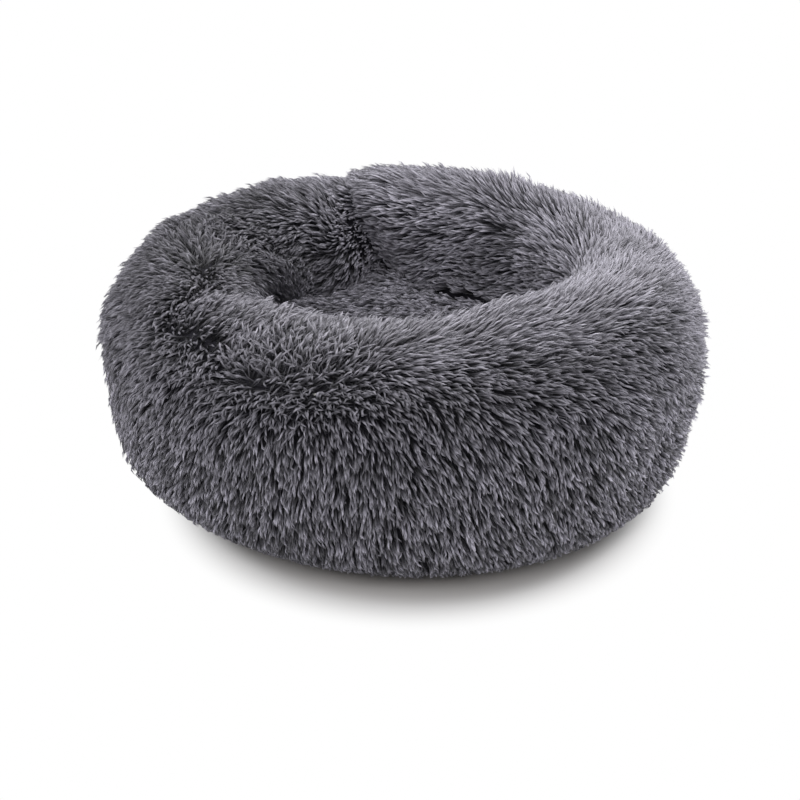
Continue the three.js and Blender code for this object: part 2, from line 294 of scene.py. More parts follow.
INNER_WALL_LAY = [
    (403, 203, 172), (449, 199, 163), (460, 211, 175), (437, 220, 180), (414, 232, 188), (460, 243, 183),
    (495, 220, 160), (529, 226, 147), (541, 243, 152), (546, 255, 163), (506, 243, 175), (555, 255, 146),
    (540, 275, 165), (552, 232, 140), (560, 245, 142), (420, 255, 195), (440, 262, 200), (480, 265, 180),
    (188, 298, 35), (195, 293, 30), (184, 308, 40), (192, 308, 45), (243, 257, 20), (216, 245, 48),
    (262, 254, -25), (280, 263, -32), (296, 277, -38), (231, 267, -22), (250, 272, -20), (270, 281, -25),
    (290, 291, -30), (222, 282, -35), (290, 230, 205), (300, 250, 212), (168, 292, 200), (185, 280, 195),
    (265, 225, 195), (240, 220, 180), (300, 190, 150), (320, 192, 148), (343, 188, 130), (285, 195, 150),
    (310, 200, 150), (332, 213, 172), (277, 208, 180), (335, 221, 172), (310, 228, 200), (330, 240, 203),
    (316, 263, 217), (325, 280, 215), (347, 258, 230), (356, 271, 250), (355, 207, 188), (370, 217, 185),
    (369, 232, 195), (343, 230, 195),
]
CUSHION_LAY = [
    (409, 283, 178), (409, 300, 188), (350, 290, 182), (380, 275, 185), (440, 298, 175), (330, 297, 180),
]
STROKES = (
    FRONT_WALL_LAY + RIGHT_WALL_LAY + FRONT_CREST_LAY + RIGHT_CREST_LAY + BACK_CREST_LAY + INNER_WALL_LAY
    + CUSHION_LAY)

# How the pile lies where the photograph doesn't show it: azimuth, turn, and the angle from the anticlockwise
# way round the ring towards the way down.
HIDDEN_LAY = [
    (0, -10, 32), (0, -50, 50), (30, 0, 40), (30, -45, 50), (60, 0, 55), (60, -45, 60), (90, 0, 58),
    (90, -45, 62),
    (120, 0, 60), (120, -45, 64), (150, 0, 66), (150, -45, 68), (180, 0, 74), (180, -45, 76), (200, -40, 82),
    (60, 40, 45), (90, 40, 45), (120, 40, 50), (150, 40, 60), (300, -60, 62), (330, -60, 56), (240, -60, 86),
    (270, -60, 72), (270, 160, 0), (240, 160, 5), (300, 160, -5), (330, 160, -5), (0, 160, 0), (30, 160, 0),
    (210, 160, 5), (180, 160, 0), (0, 120, -12), (116, 100, 35), (127, 95, 45), (138, 92, 60), (150, 88, 75),
]

# Hollows and rolls pressed into the stuffing: picture across, picture down, radius and depth in mm.
HOLLOWS = [
    (535, 258, 13, -8), (482, 304, 14, -4), (520, 290, 14, -4), (556, 272, 14, -4), (455, 176, 20, -5),
    (500, 184, 22, -6), (540, 196, 20, -5), (668, 466, 34, 9), (640, 515, 25, 6), (120, 256, 22, 3),
    (490, 236, 13, 4), (240, 341, 9, 5), (258, 376, 12, 2), (292, 376, 9, 3), (516, 347, 12, 6),
    (470, 352, 12, 3), (598, 331, 9, 5), (615, 352, 9, 3), (590, 267, 10, 4), (617, 263, 11, 4),
    (645, 259, 11, 4), (672, 256, 11, 4), (211, 240, 10, 5), (232, 238, 9, 4), (508, 207, 12, 5),
    (530, 212, 10, 4), (559, 229, 10, 4), (338, 365, 9, 4), (215, 362, 9, 4), (566, 475, 10, 3),
    (640, 375, 12, 3), (600, 470, 9, 3), (452, 385, 8, 2), (258, 330, 8, -5), (226, 368, 7, -4),
    (192, 275, 14, -3), (104, 352, 45, 7), (112, 300, 25, 2.5), (150, 240, 28, -5), (190, 214, 28, -6),
    (235, 194, 28, -5), (300, 180, 25, -3), (342, 172, 20, -8), (372, 240, 10, -5), (664, 246, 25, 3),
    (700, 390, 30, 3), (283, 272, 17, -9), (300, 283, 13, -8),
]
# The crease at the cross seam, where the strips' ends meet: picture across, picture down. Its points were
# read one by one.
# Where the photograph doesn't show it, it runs down the outside at one azimuth.
CREASE = [(341, 167), (343, 173), (347, 186), (352, 200), (356, 214), (362, 234), (368, 252), (376, 272)]
CREASE_AZIMUTH = 109.7
# Where the pile stands open and is painted darker, a painted shade for the shade in its folds: picture
# across, picture down, and radius in mm.
SHADED_OPENINGS = [
    (502, 260, 20), (480, 272, 14), (262, 248, 16), (328, 350, 11), (512, 347, 12), (470, 362, 12),
    (300, 262, 14), (612, 240, 13), (588, 221, 11), (585, 250, 9),
]
# Where hands have ruffled the pile: picture across, picture down, radius in mm, and how wildly, in radians.
RUFFLES = [
    (262, 362, 26, 0.9), (345, 360, 18, 0.8), (310, 385, 16, 0.7), (222, 245, 20, 0.7), (185, 336, 16, 0.4),
    (445, 300, 14, 0.8), (566, 400, 16, 0.4), (203, 276, 12, 0.8),
]


def waves(points, size, seed, count=9):
    """A smooth chance value at each point, about from -1 to 1, whose swells are about `size` across."""
    chance = np.random.default_rng(seed)
    ways = chance.normal(size=(count, 3))
    steepness = 2 * math.pi / (size * chance.uniform(0.75, 1.4, count))
    ways *= (steepness / np.linalg.norm(ways, axis=1))[:, None]
    swells = np.sin(points @ ways.T + chance.uniform(0, 2 * math.pi, count))
    return swells.sum(axis=1) * math.sqrt(2 / count) / 1.4


def search_tree(places):
    """A tree that finds the nearest of some places."""
    near = KDTree(len(places))
    for number, place in enumerate(places):
        near.insert(place, number)
    near.balance()
    return near


def to_line(points, line):
    """The way from each point to the nearest of a line's points."""
    near = search_tree(line)
    return line[[near.find(point)[1] for point in points]] - points


def near_spot(points, x, y, radius):
    """How near each point is to a place in the picture: 1 at it, falling off over a radius in mm."""
    return falling(np.linalg.norm(points - np.array(on_bed(x, y)[0]), axis=1), radius * MM)


def ring_ways(points, normals):
    """At each point, the way round the bed and the way down the outside, both along the cloth."""
    round_way = np.stack([-points[:, 1], points[:, 0], np.zeros(len(points))], axis=1)
    round_way -= normals * (round_way * normals).sum(axis=1)[:, None]
    round_way /= np.linalg.norm(round_way, axis=1)[:, None] + TINY
    return round_way, np.cross(round_way, normals)


def lying(points, normals, lays):
    """The way that pile lies at each point, along the cloth, from its angle."""
    round_way, down_way = ring_ways(points, normals)
    return np.cos(lays)[:, None] * round_way + np.sin(lays)[:, None] * down_way


RISE = 0.45  # how far the pile stands off the cloth, as a share of how far it lies along it
SEEN_REACH, HIDDEN_REACH = 15 * MM, 55 * MM  # how far round it a stroke of each kind counts
HIDDEN_WEIGHT = 0.05  # how much a stroke counts that the photograph doesn't show
FAR_TIMES, FAR_WEIGHT = 4, 2e-3  # each stroke also counts this many times further off, with this weight
OTHER_STRIP_WEIGHT = 0.5  # how much a stroke counts on the strip beside its own
BATCH = 20000  # points worked out at a time, which keeps memory low


class Combing:
    """How the pile lies all over the bed, from the strokes above."""

    def __init__(self):
        right, up, _ = (np.array(way) for way in camera_axes(bpy.context.scene.petbed_stage))
        turns = np.radians(np.arange(0, 360, 3))
        rows = []
        for x, y, angle in STROKES:
            place, normal, strip = on_bed(x, y)
            n = np.array(normal)
            r, m = (w[0] for w in ring_ways(np.array([place]), n[None]))
            wanted = np.array([math.cos(math.radians(angle)), math.sin(math.radians(angle))])
            ways = np.cos(turns)[:, None] * r + np.sin(turns)[:, None] * m + RISE * n
            shown = np.stack([ways @ right, ways @ up], axis=1)
            match = (shown @ wanted) / (np.linalg.norm(shown, axis=1) + 0.05)
            best = int(match.argmax())
            level = strip == "cushion_cover"
            way = ways[best][:2] if level else (math.cos(turns[best]), math.sin(turns[best]))
            rows.append((*place, *way, SEEN_REACH, 1.0, strip))
        for azimuth, turn, lay in HIDDEN_LAY:
            place, _, strip = on_ring(azimuth, turn)
            lay = math.radians(lay)
            rows.append((*place, math.cos(lay), math.sin(lay), HIDDEN_REACH, HIDDEN_WEIGHT, strip))
        self.places, self.lays = np.array([row[:3] for row in rows]), np.array([row[3:5] for row in rows])
        self.reach, self.weight, self.strip = (np.array([row[i] for row in rows]) for i in (5, 6, 7))

    def angles(self, points, strip):
        """The lay at each point, as the angle from the way round the bed towards the way down, and how well
        the strokes near it agree, 0 to 1: where they part, the pile stands up. The cushion's strokes are ways
        across the floor, as its cloth is one round piece."""
        found, agreed = np.zeros((len(points), 2)), np.zeros(len(points))
        level = strip == "cushion_cover"
        own = self.weight * np.where(self.strip == strip, 1.0, OTHER_STRIP_WEIGHT)
        own = own * ((self.strip == "cushion_cover") == level)
        for start in range(0, len(points), BATCH):
            part = points[start : start + BATCH]
            away = ((part[:, None, :] - self.places[None]) ** 2).sum(axis=2)
            far = FAR_WEIGHT * np.exp(-away / (2 * (FAR_TIMES * self.reach) ** 2))
            share = own * (np.exp(-away / (2 * self.reach**2)) + far)
            found[start : start + BATCH] = share @ self.lays
            agreed[start : start + BATCH] = share.sum(axis=1)
        lays = np.arctan2(found[:, 1], found[:, 0])
        if level:
            lays = math.pi / 2 + np.arctan2(points[:, 1], points[:, 0]) - lays
        return lays, np.linalg.norm(found, axis=1) / agreed


def wildness(points):
    """How far chance turns the pile at each point, in radians."""
    return sum(most * near_spot(points, x, y, radius) for x, y, radius, most in RUFFLES)


# How smoothly the pile on the crest is brushed down, 0 to 1, by azimuth. Brushed pile's roots are painted
# paler, a painted light, and pile that isn't brushed is painted darker, a painted shade.
BRUSHED = {
    "outer_strip": (
        (0, 20, 50, 75, 108, 112, 128, 145, 180, 250, 310, 328, 348, 360),
        (1, 0.85, 0.8, 1, 1, 0.7, 0.5, 0.1, 0, 0, 0, 0.15, 0.75, 1)),
    "inner_strip": (
        (0, 20, 50, 75, 107, 113, 128, 145, 190, 203, 225, 250, 258, 275, 300, 360),
        (0.9, 0.8, 0.75, 0.95, 1, 0.8, 0.5, 0, 0, 0.35, 0.35, 0.35, 0.5, 0.9, 0.95, 0.9)),
    "cushion_cover": ((0, 360), (0.4, 0.4)),
}


def sleekness(points, normals, strip):
    """How smoothly the pile lies at each point, 0 to 1: it is brushed down on the crest and on the right, and
    stands open on the walls. The second value is how far it stands open on a part that faces up, and so how
    much painted shade darkens it."""
    right = rising(points[:, 0], 0.15, 0.06)
    upward = np.clip((normals[:, 2] - 0.05 + 0.4 * right) / 0.65, 0, 1)
    azimuth = azimuths(points)
    brushed = np.interp(azimuth, *BRUSHED[strip])
    if strip == "inner_strip":  # along the front, the pile stands open where it parts at the ridge seam
        seam = falling(np.linalg.norm(to_line(points, RIDGE_SEAM), axis=1), 11 * MM)
        brushed = brushed * (1 - 0.8 * seam * np.interp(azimuth, (220, 245, 305, 325), (0, 1, 1, 0)))
    facing = np.clip(normals[:, 2] + (0.6 if strip == "inner_strip" else 0.3), 0, 1)
    sleek, open_and_shaded = upward**2 * (3 - 2 * upward) * brushed, (1 - brushed) * facing
    for x, y, radius in SHADED_OPENINGS:
        near = near_spot(points, x, y, radius)
        sleek, open_and_shaded = sleek * (1 - 0.7 * near), open_and_shaded + (1 - open_and_shaded) * 0.8 * near
    return sleek, open_and_shaded


def cross_seam():
    """Points along the crease at the cross seam."""
    seen = [np.array(on_bed(x, y)[0]) for x, y in CREASE]
    points = [a + (b - a) * share for a, b in zip(seen[:-1], seen[1:]) for share in np.arange(0, 1, 0.1)]
    return np.array(points + [on_ring(CREASE_AZIMUTH, turn)[0] for turn in range(-55, 76, 2)])


def ridge_seam():
    """Points along the seam between the outer and the inner strip, which nearly touch there."""
    outer, inner = (
        np.array([v.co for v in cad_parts[name].data.vertices if v.co.z > 110 * MM])
        for name in ("outer_strip", "inner_strip"))
    near = search_tree(inner)
    return np.array([place for place in outer if near.find(place)[2] < 1.2 * MM])


RIDGE_SEAM = ridge_seam()


LUMPS = ((1.3, 75, 11), (1.1, 34, 12))  # of the stuffing: height and size in mm, and seed
SUNK = 1.2  # mm that the stuffing lies in from its plain shape between lumps
RIDGE_SWELL, RIDGE_WIDTH = 5 * MM, 8 * MM  # how far and how wide the stuffing swells under the ridge seam
CREASE_DEPTH, CREASE_WIDTH = 8 * MM, 4.5 * MM  # how far and how wide the cross seam draws it in
PRESSED_FROM, PRESSED_FADE = 12 * MM, 35 * MM  # the height where the forms start, and how softly


def pressed(points):
    """How far the stuffing stands out of its plain shape at each point: soft lumps, hollows and rolls. The
    stuffing swells under the ridge seam, so that the pile closes over it, and the cross seam draws it in."""
    lumps = sum(height * waves(points, size * MM, seed) for height, size, seed in LUMPS)
    out = (lumps - SUNK) * MM
    out += RIDGE_SWELL * falling(np.linalg.norm(to_line(points, RIDGE_SEAM), axis=1), RIDGE_WIDTH)
    out -= CREASE_DEPTH * falling(np.linalg.norm(to_line(points, cross_seam()), axis=1), CREASE_WIDTH)
    for x, y, radius, depth in HOLLOWS:
        out -= depth * MM * near_spot(points, x, y, radius)
    return out * rising(points[:, 2], PRESSED_FROM, PRESSED_FADE)


# Making pieces


def new_piece(name, mesh, material, replaces=()):
    """An object for a finished mesh, with its material, that moves with the bed."""
    piece = bpy.data.objects.new(name, mesh)
    bpy.context.scene.collection.objects.link(piece)
    mesh.materials.append(material)
    mesh.shade_smooth()
    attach(piece, "root")
    if replaces:
        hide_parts(*replaces)
    return piece


def mesh_from(bm, name):
    """A finished mesh from a bmesh, which is let go."""
    mesh = bpy.data.meshes.new(name)
    bm.to_mesh(mesh)
    bm.free()
    for extra in ("custom_normal", "sharp_face", "sharp_edge"):
        if extra in mesh.attributes:
            mesh.attributes.remove(mesh.attributes[extra])
    return mesh


def merged_copy(node_name):
    """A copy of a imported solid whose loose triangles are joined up."""
    bm = bmesh.new()
    bm.from_mesh(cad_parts[node_name].data)
    bmesh.ops.remove_doubles(bm, verts=bm.verts, dist=0.01 * MM)
    return bm


def join_up(bm):
    """Joins pairs of triangles into four-sided faces, where they lie nearly flat."""
    bmesh.ops.join_triangles(
        bm, faces=bm.faces, angle_face_threshold=math.radians(50), angle_shape_threshold=math.radians(70))


def core_at(place, core):
    """The middle of the stuffing nearest to a place: the ring's core, or a point under the cushion."""
    if core is not None:
        return core
    flat = Vector((place.x, place.y, 0)).normalized() * RING_CORE.x
    return Vector((flat.x, flat.y, RING_CORE.z))


def backing(node_name, filling, core=None):
    """The knitted backing of a piece of plush: the part of the solid that lies on its filling, turned to face
    outwards."""
    bm, fibre = merged_copy(node_name), merged_copy(filling)
    stuffed = BVHTree.FromBMesh(fibre)
    fibre.free()
    spare = []
    for face in bm.faces:
        _, outwards, _, gap = stuffed.find_nearest(face.calc_center_median())
        if gap > 1 * MM or face.normal.dot(outwards) > -0.3:
            spare.append(face)
    bmesh.ops.delete(bm, geom=spare, context="FACES")
    bmesh.ops.reverse_faces(bm, faces=bm.faces)
    join_up(bm)
    bmesh.ops.subdivide_edges(bm, edges=bm.edges, cuts=1, use_grid_fill=True, smooth=0.5)
    places = np.array([v.co for v in bm.verts])
    out = pressed(places)
    for vert, move in zip(bm.verts, out):
        vert.co += (vert.co - core_at(vert.co, core)).normalized() * move
    return mesh_from(bm, node_name)


EVEN_STEPS = (0.7548777, 0.5698403)  # these steps, taken over and over, spread places evenly over a triangle
# How high the pile stands in mm: at the foot, how much more above it, and how much less inside the ring
FOOT_PILE, WALL_PILE_MORE, INSIDE_PILE_LESS = 4.5, 6.5, 3


class Field:
    """A backing that pile is planted on: its triangles, normals and the height its pile stands."""

    def __init__(self, piece, strip, lowest):
        graph = bpy.context.evaluated_depsgraph_get()
        graph.update()
        mesh = piece.evaluated_get(graph).to_mesh()
        mesh.calc_loop_triangles()
        self.strip = strip
        self.corners = np.array([v.co for v in mesh.vertices])
        self.normals = np.array([v.vector for v in mesh.vertex_normals])
        self.triangles = np.array([t.vertices for t in mesh.loop_triangles])
        rise = rising(self.corners[:, 2], 4 * MM, 40 * MM)
        wide = np.hypot(self.corners[:, 0], self.corners[:, 1])
        turn = np.degrees(np.arctan2(self.corners[:, 2] - RING_CORE.z, wide - RING_CORE.x)) % 360
        inside = rising(turn, 105, 40) * (turn < 270)
        self.height = (FOOT_PILE + WALL_PILE_MORE * rise - INSIDE_PILE_LESS * inside) * MM
        a, b, c = (self.corners[self.triangles[:, i]] for i in range(3))
        self.areas = np.linalg.norm(np.cross(b - a, c - a), axis=1) / 2
        middle = (a + b + c) / 3
        self.areas[middle[:, 2] < lowest] = 0
        piece.evaluated_get(graph).to_mesh_clear()

    def roots(self, spacing, chance):
        """Evenly scattered places on the backing: points, normals and pile heights."""
        wanted = self.areas / (spacing**2 * 0.9)
        counts = np.floor(wanted + chance.random(len(wanted))).astype(int)
        which = np.repeat(np.arange(len(counts)), counts)
        step = np.arange(len(which)) - np.repeat(np.cumsum(counts) - counts, counts)
        shift = chance.random((len(counts), 2))[which]
        p, q = ((shift[:, i] + step * EVEN_STEPS[i]) % 1 for i in range(2))
        p, q = np.where(p + q > 1, 1 - p, p), np.where(p + q > 1, 1 - q, q)
        share = np.stack([1 - p - q, p, q], axis=1)[:, :, None]
        corner = self.triangles[which]
        places = (self.corners[corner] * share).sum(axis=1)
        normals = (self.normals[corner] * share).sum(axis=1)
        normals /= np.linalg.norm(normals, axis=1)[:, None]
        heights = (self.height[corner] * share[:, :, 0]).sum(axis=1)
        return places, normals, heights


TINTS = 8  # shades that the locks come in, each a band of the pile's own map


def strand_pattern(rings):
    """One straight strand, 1 high and 1 wide: a three-sided spike with rings at some heights, and its map."""
    bm = bmesh.new()
    bmesh.ops.create_cone(bm, cap_ends=True, segments=3, radius1=0.5, radius2=0, depth=1)
    bmesh.ops.translate(bm, verts=bm.verts, vec=(0, 0, 0.5))
    for height in rings:
        bmesh.ops.bisect_plane(
            bm, geom=bm.verts[:] + bm.edges[:] + bm.faces[:], plane_co=(0, 0, height), plane_no=(0, 0, 1))
    bmesh.ops.remove_doubles(bm, verts=bm.verts, dist=0.0001)
    corners = np.array([v.co for v in bm.verts])
    loops, sizes, maps = [], [], []
    for face in bm.faces:
        sizes.append(len(face.verts))
        middle = face.calc_center_median()
        facing = math.atan2(middle.y, middle.x)
        side = int((facing / (2 * math.pi)) % 1 * 3)
        for number, vert in enumerate(face.verts):
            loops.append(vert.index)
            if abs(face.normal.z) > 0.9:
                maps.append(((0.0, 0.1), (0.04, 0.5), (0.0, 0.9))[number])
            elif vert.co.z > 0.999:
                maps.append((1.0, (side + 0.5) / 3))
            else:
                behind = (math.atan2(vert.co.y, vert.co.x) - facing) % (2 * math.pi) > math.pi
                maps.append((vert.co.z, (side + (0.02 if behind else 0.98)) / 3))
    bm.free()
    return corners, np.array(loops), np.array(sizes), np.array(maps)


def filled_mesh(name, points, loops, sizes, uv):
    """A mesh of copies of one shape: each copy's points and map, and the shape's corners and face sizes."""
    count, corners = points.shape[:2]
    copies, starts = np.arange(count)[:, None], np.cumsum(sizes) - sizes
    mesh = bpy.data.meshes.new(name)
    mesh.vertices.add(count * corners)
    mesh.vertices.foreach_set("co", points.reshape(-1))
    mesh.loops.add(count * len(loops))
    mesh.loops.foreach_set("vertex_index", (loops[None] + copies * corners).reshape(-1))
    mesh.polygons.add(count * len(sizes))
    mesh.polygons.foreach_set("loop_start", (starts[None] + copies * len(loops)).reshape(-1))
    mesh.update(calc_edges=True)
    if uv is not None:
        mesh.uv_layers.new(name="OFBake").data.foreach_set("uv", uv.reshape(-1))
    if mesh.validate():
        raise RuntimeError(f"{name} has faces that Blender had to mend")
    return mesh


LOCK_FLOOR, STRAND_FLOOR = 2.6 * MM, 1.9 * MM  # how near the floor a lock's middle line and its strands come
ROOT_DEPTH = 0.8 * MM  # how deep the pile is rooted in the cloth
RISE_POWER, REACH_POWER, PULL_POWER = 1.7, 1.15, 1.3  # how a lock's rise, reach and pull grow along it
SWAY_TURN, SWAY_TIMES, TWIST = 5.5, 1.8, 1.6  # radians that its sway turns by, its width, and its twist
STRANDS_APART = 0.42  # how far a lock's strands stand off its middle line, as a share of their width
LEAST_REACH = 0.35  # how far the steepest lock still reaches along the cloth, as a share of its length


def lock_lines(locks, levels, chance):
    """The middle line of each lock, through a point for each level: it rises from the cloth, bends over the
    way it lies, sways, and is pulled towards its streak."""
    places, normals, lengths, heights = locks["place"], locks["normal"], locks["length"], locks["height"]
    lay = lying(places, normals, locks["lay"])
    side = np.cross(normals, lay)
    reach = np.sqrt(np.maximum(lengths**2 - heights**2, (LEAST_REACH * lengths) ** 2))
    sway = chance.normal(size=(2, len(places))) * locks["sway"]
    phase = chance.uniform(0, 2 * math.pi, (2, len(places)))
    lines = []
    for t in levels:
        up = heights * (1 - (1 - t) ** RISE_POWER) - ROOT_DEPTH * (t == 0)
        across, lift = sway * t * np.sin(phase + SWAY_TURN * t) * SWAY_TIMES
        lines.append(
            places + normals * (up + lift)[:, None] + lay * (reach * t**REACH_POWER)[:, None]
            + side * across[:, None] + locks["pull"] * t**PULL_POWER)
    lines = np.stack(lines, axis=1)
    lines[:, :, 2] = np.maximum(lines[:, :, 2], LOCK_FLOOR)
    return tucked(lines)


def grow(name, locks, strands, width, rings, profile, chance):
    """A mesh of locks, each of some strands that twist about its middle line."""
    pattern, loops, sizes, maps = strand_pattern(rings)
    levels = np.unique(np.round(pattern[:, 2], 4))
    level_of = np.searchsorted(levels, np.round(pattern[:, 2], 4))
    lines = lock_lines(locks, levels, chance)
    count = len(lines)
    runs = np.gradient(lines, levels, axis=1)
    runs /= np.linalg.norm(runs, axis=2)[:, :, None] + 1e-12
    across = np.cross(runs, locks["normal"][:, None, :])
    across /= np.linalg.norm(across, axis=2)[:, :, None] + 1e-12
    rise = np.cross(runs, across)
    taper = np.interp(levels, *profile)
    spread = 1 - pattern[:, 2]
    spread[spread < 0.001] = 1
    px, py = pattern[:, 0] / spread, pattern[:, 1] / spread
    even, open_and_shaded, low = (locks[what][:, None] for what in ("even", "open_and_shaded", "low"))
    # How far a point is from the tip, which takes it towards the root colour. On sleek, even pile the roots
    # are painted paler, a painted light for light spreading among the fibres; low on the outer wall the dark
    # reaches a little further, a painted shade.
    dark = (1 - maps[None, :, 0]) * (1 - 0.6 * even + 0.1 * low)
    scatter = 0.9 + 1.1 * locks["low"] - 0.6 * locks["even"]
    all_points, all_uv = [], []
    start, twist = chance.uniform(0, 2 * math.pi, count), chance.normal(size=count) * TWIST
    for strand in range(strands):
        angle = start[:, None] + 2 * math.pi * strand / strands + twist[:, None] * levels[None]
        apart = width * (STRANDS_APART if strands > 1 else 0)
        apart = apart * np.interp(levels, (0, 0.68, 1), (1.2, 0.9, 0.8))[None]
        apart = apart * (locks["apart"] * chance.uniform(0.7, 1.35, count))[:, None]
        line = lines + across * (apart * np.cos(angle))[:, :, None]
        line = line + rise * (apart * np.sin(angle))[:, :, None]
        stretch = chance.uniform(0.9, 1.06, count)[:, None, None]
        line = line[:, :1] + (line - line[:, :1]) * stretch
        roll = chance.uniform(0, 2 * math.pi, count)[:, None]
        size = (width * locks["thick"] * chance.uniform(0.8, 1.2, count))[:, None] * taper[level_of][None]
        x = (px * np.cos(roll) - py * np.sin(roll)) * size
        y = (px * np.sin(roll) + py * np.cos(roll)) * size
        points = line[:, level_of] + across[:, level_of] * x[:, :, None] + rise[:, level_of] * y[:, :, None]
        points[:, :, 2] = np.maximum(points[:, :, 2], STRAND_FLOOR)
        tints = np.clip(np.round(locks["tone"] + chance.normal(size=count) * scatter), 0, TINTS - 1)
        uv = np.zeros((count, len(loops), 2))
        # Open pile is painted darker along its length, a painted shade; even pile is a little darker at its
        # tips
        uv[:, :, 0] = np.maximum(0.98 - 0.08 * even - 0.12 * open_and_shaded - 0.96 * dark, 0.02)
        uv[:, :, 1] = (tints[:, None] + 0.04 + 0.92 * maps[None, :, 1]) / TINTS
        all_points.append(points)
        all_uv.append(uv)
    return filled_mesh(name, np.concatenate(all_points), loops, sizes, np.concatenate(all_uv))


def gathered(places, normals, lays, field):
    """How locks draw together into streaks along the way they lie: the way from each lock to the middle line
    of its streak, and how near it is to the streak's edge, 0 to 1."""
    pile = bpy.context.scene.petbed_pile
    chance = np.random.default_rng(pile.seed + 100)
    across, along = pile.streak_width, pile.streak_length
    middles, _, _ = field.roots(math.sqrt(across * along), chance)
    lay = lying(places, normals, lays)
    side = np.cross(normals, lay)
    near = search_tree(middles)
    found = np.array([[number for _, number, _ in near.find_n(place, 9)] for place in places])
    way = middles[found] - places[:, None]
    off_side = (way * side[:, None]).sum(axis=2)
    off_lay = (way * lay[:, None]).sum(axis=2)
    best = ((off_side / across) ** 2 + (off_lay / along) ** 2).argmin(axis=1)
    off = off_side[np.arange(len(places)), best]
    return side * off[:, None], np.clip(np.abs(off) / (0.5 * across), 0, 1)


# How near the crease the pile is left out, sunk and painted dark as the crease's shade, shortened, and laid
# calmly
CREASE_BARE, CREASE_SUNK, CREASE_SHORT, CREASE_CALM = 1.6 * MM, 3 * MM, 8 * MM, 14 * MM
CREASE_STOP, SHORTEST = 0.5 * MM, 4 * MM  # where pile that lies towards it stops, and the shortest of it
HIGH_FROM, HIGH_FADE = 110 * MM, 40 * MM  # where the outer strip's pile starts to lie evenly
LOW_FROM, LOW_FADE = 150 * MM, 70 * MM  # where its low wall starts, downwards
FOOT_FROM, FOOT_FADE = 3 * MM, 28 * MM  # where the short pile at the foot starts to grow longer


def spots(field, combing, spacing, neat, chance):
    """Where one kind of pile is planted, and what it is like there. The shares run from 0 to 1: how sleek the
    pile is, how far it stands open and is painted darker as shade, how even its tones are, how low it is on
    the outer wall, how deep on the inner wall at the left, and how far it parts."""
    places, normals, heights = field.roots(spacing, chance)
    outer, inner = field.strip == "outer_strip", field.strip == "inner_strip"
    sleek, open_and_shaded = sleekness(places, normals, field.strip)
    lays, agreement = combing.angles(places, field.strip)
    parting = sinking(agreement, 0.8, 0.5)
    seamward = to_line(places, cross_seam())
    crease = np.linalg.norm(seamward, axis=1)
    high = rising(places[:, 2], HIGH_FROM, HIGH_FADE) if outer else np.ones(len(places))
    azimuth = azimuths(places)
    deep = np.interp(azimuth, (108, 114, 170, 200), (0, 1, 1, 0)) * inner
    even = np.max([sleek, 0.55 * open_and_shaded, 0.35 * high, 0.7 * deep, 0.6 * parting], axis=0)
    low = sinking(places[:, 2], LOW_FROM, LOW_FADE) * outer
    # The pile stands open on the walls, so fewer locks and few stray hairs fill it there.
    kept = chance.random(len(places)) < (1 - 0.18 * low if neat else 0.3 + 0.7 * even)
    kept &= crease > CREASE_BARE
    return [values[kept] for values in (
        places, normals, heights, sleek, open_and_shaded, even, low, deep, azimuth, lays, parting, seamward, crease)]


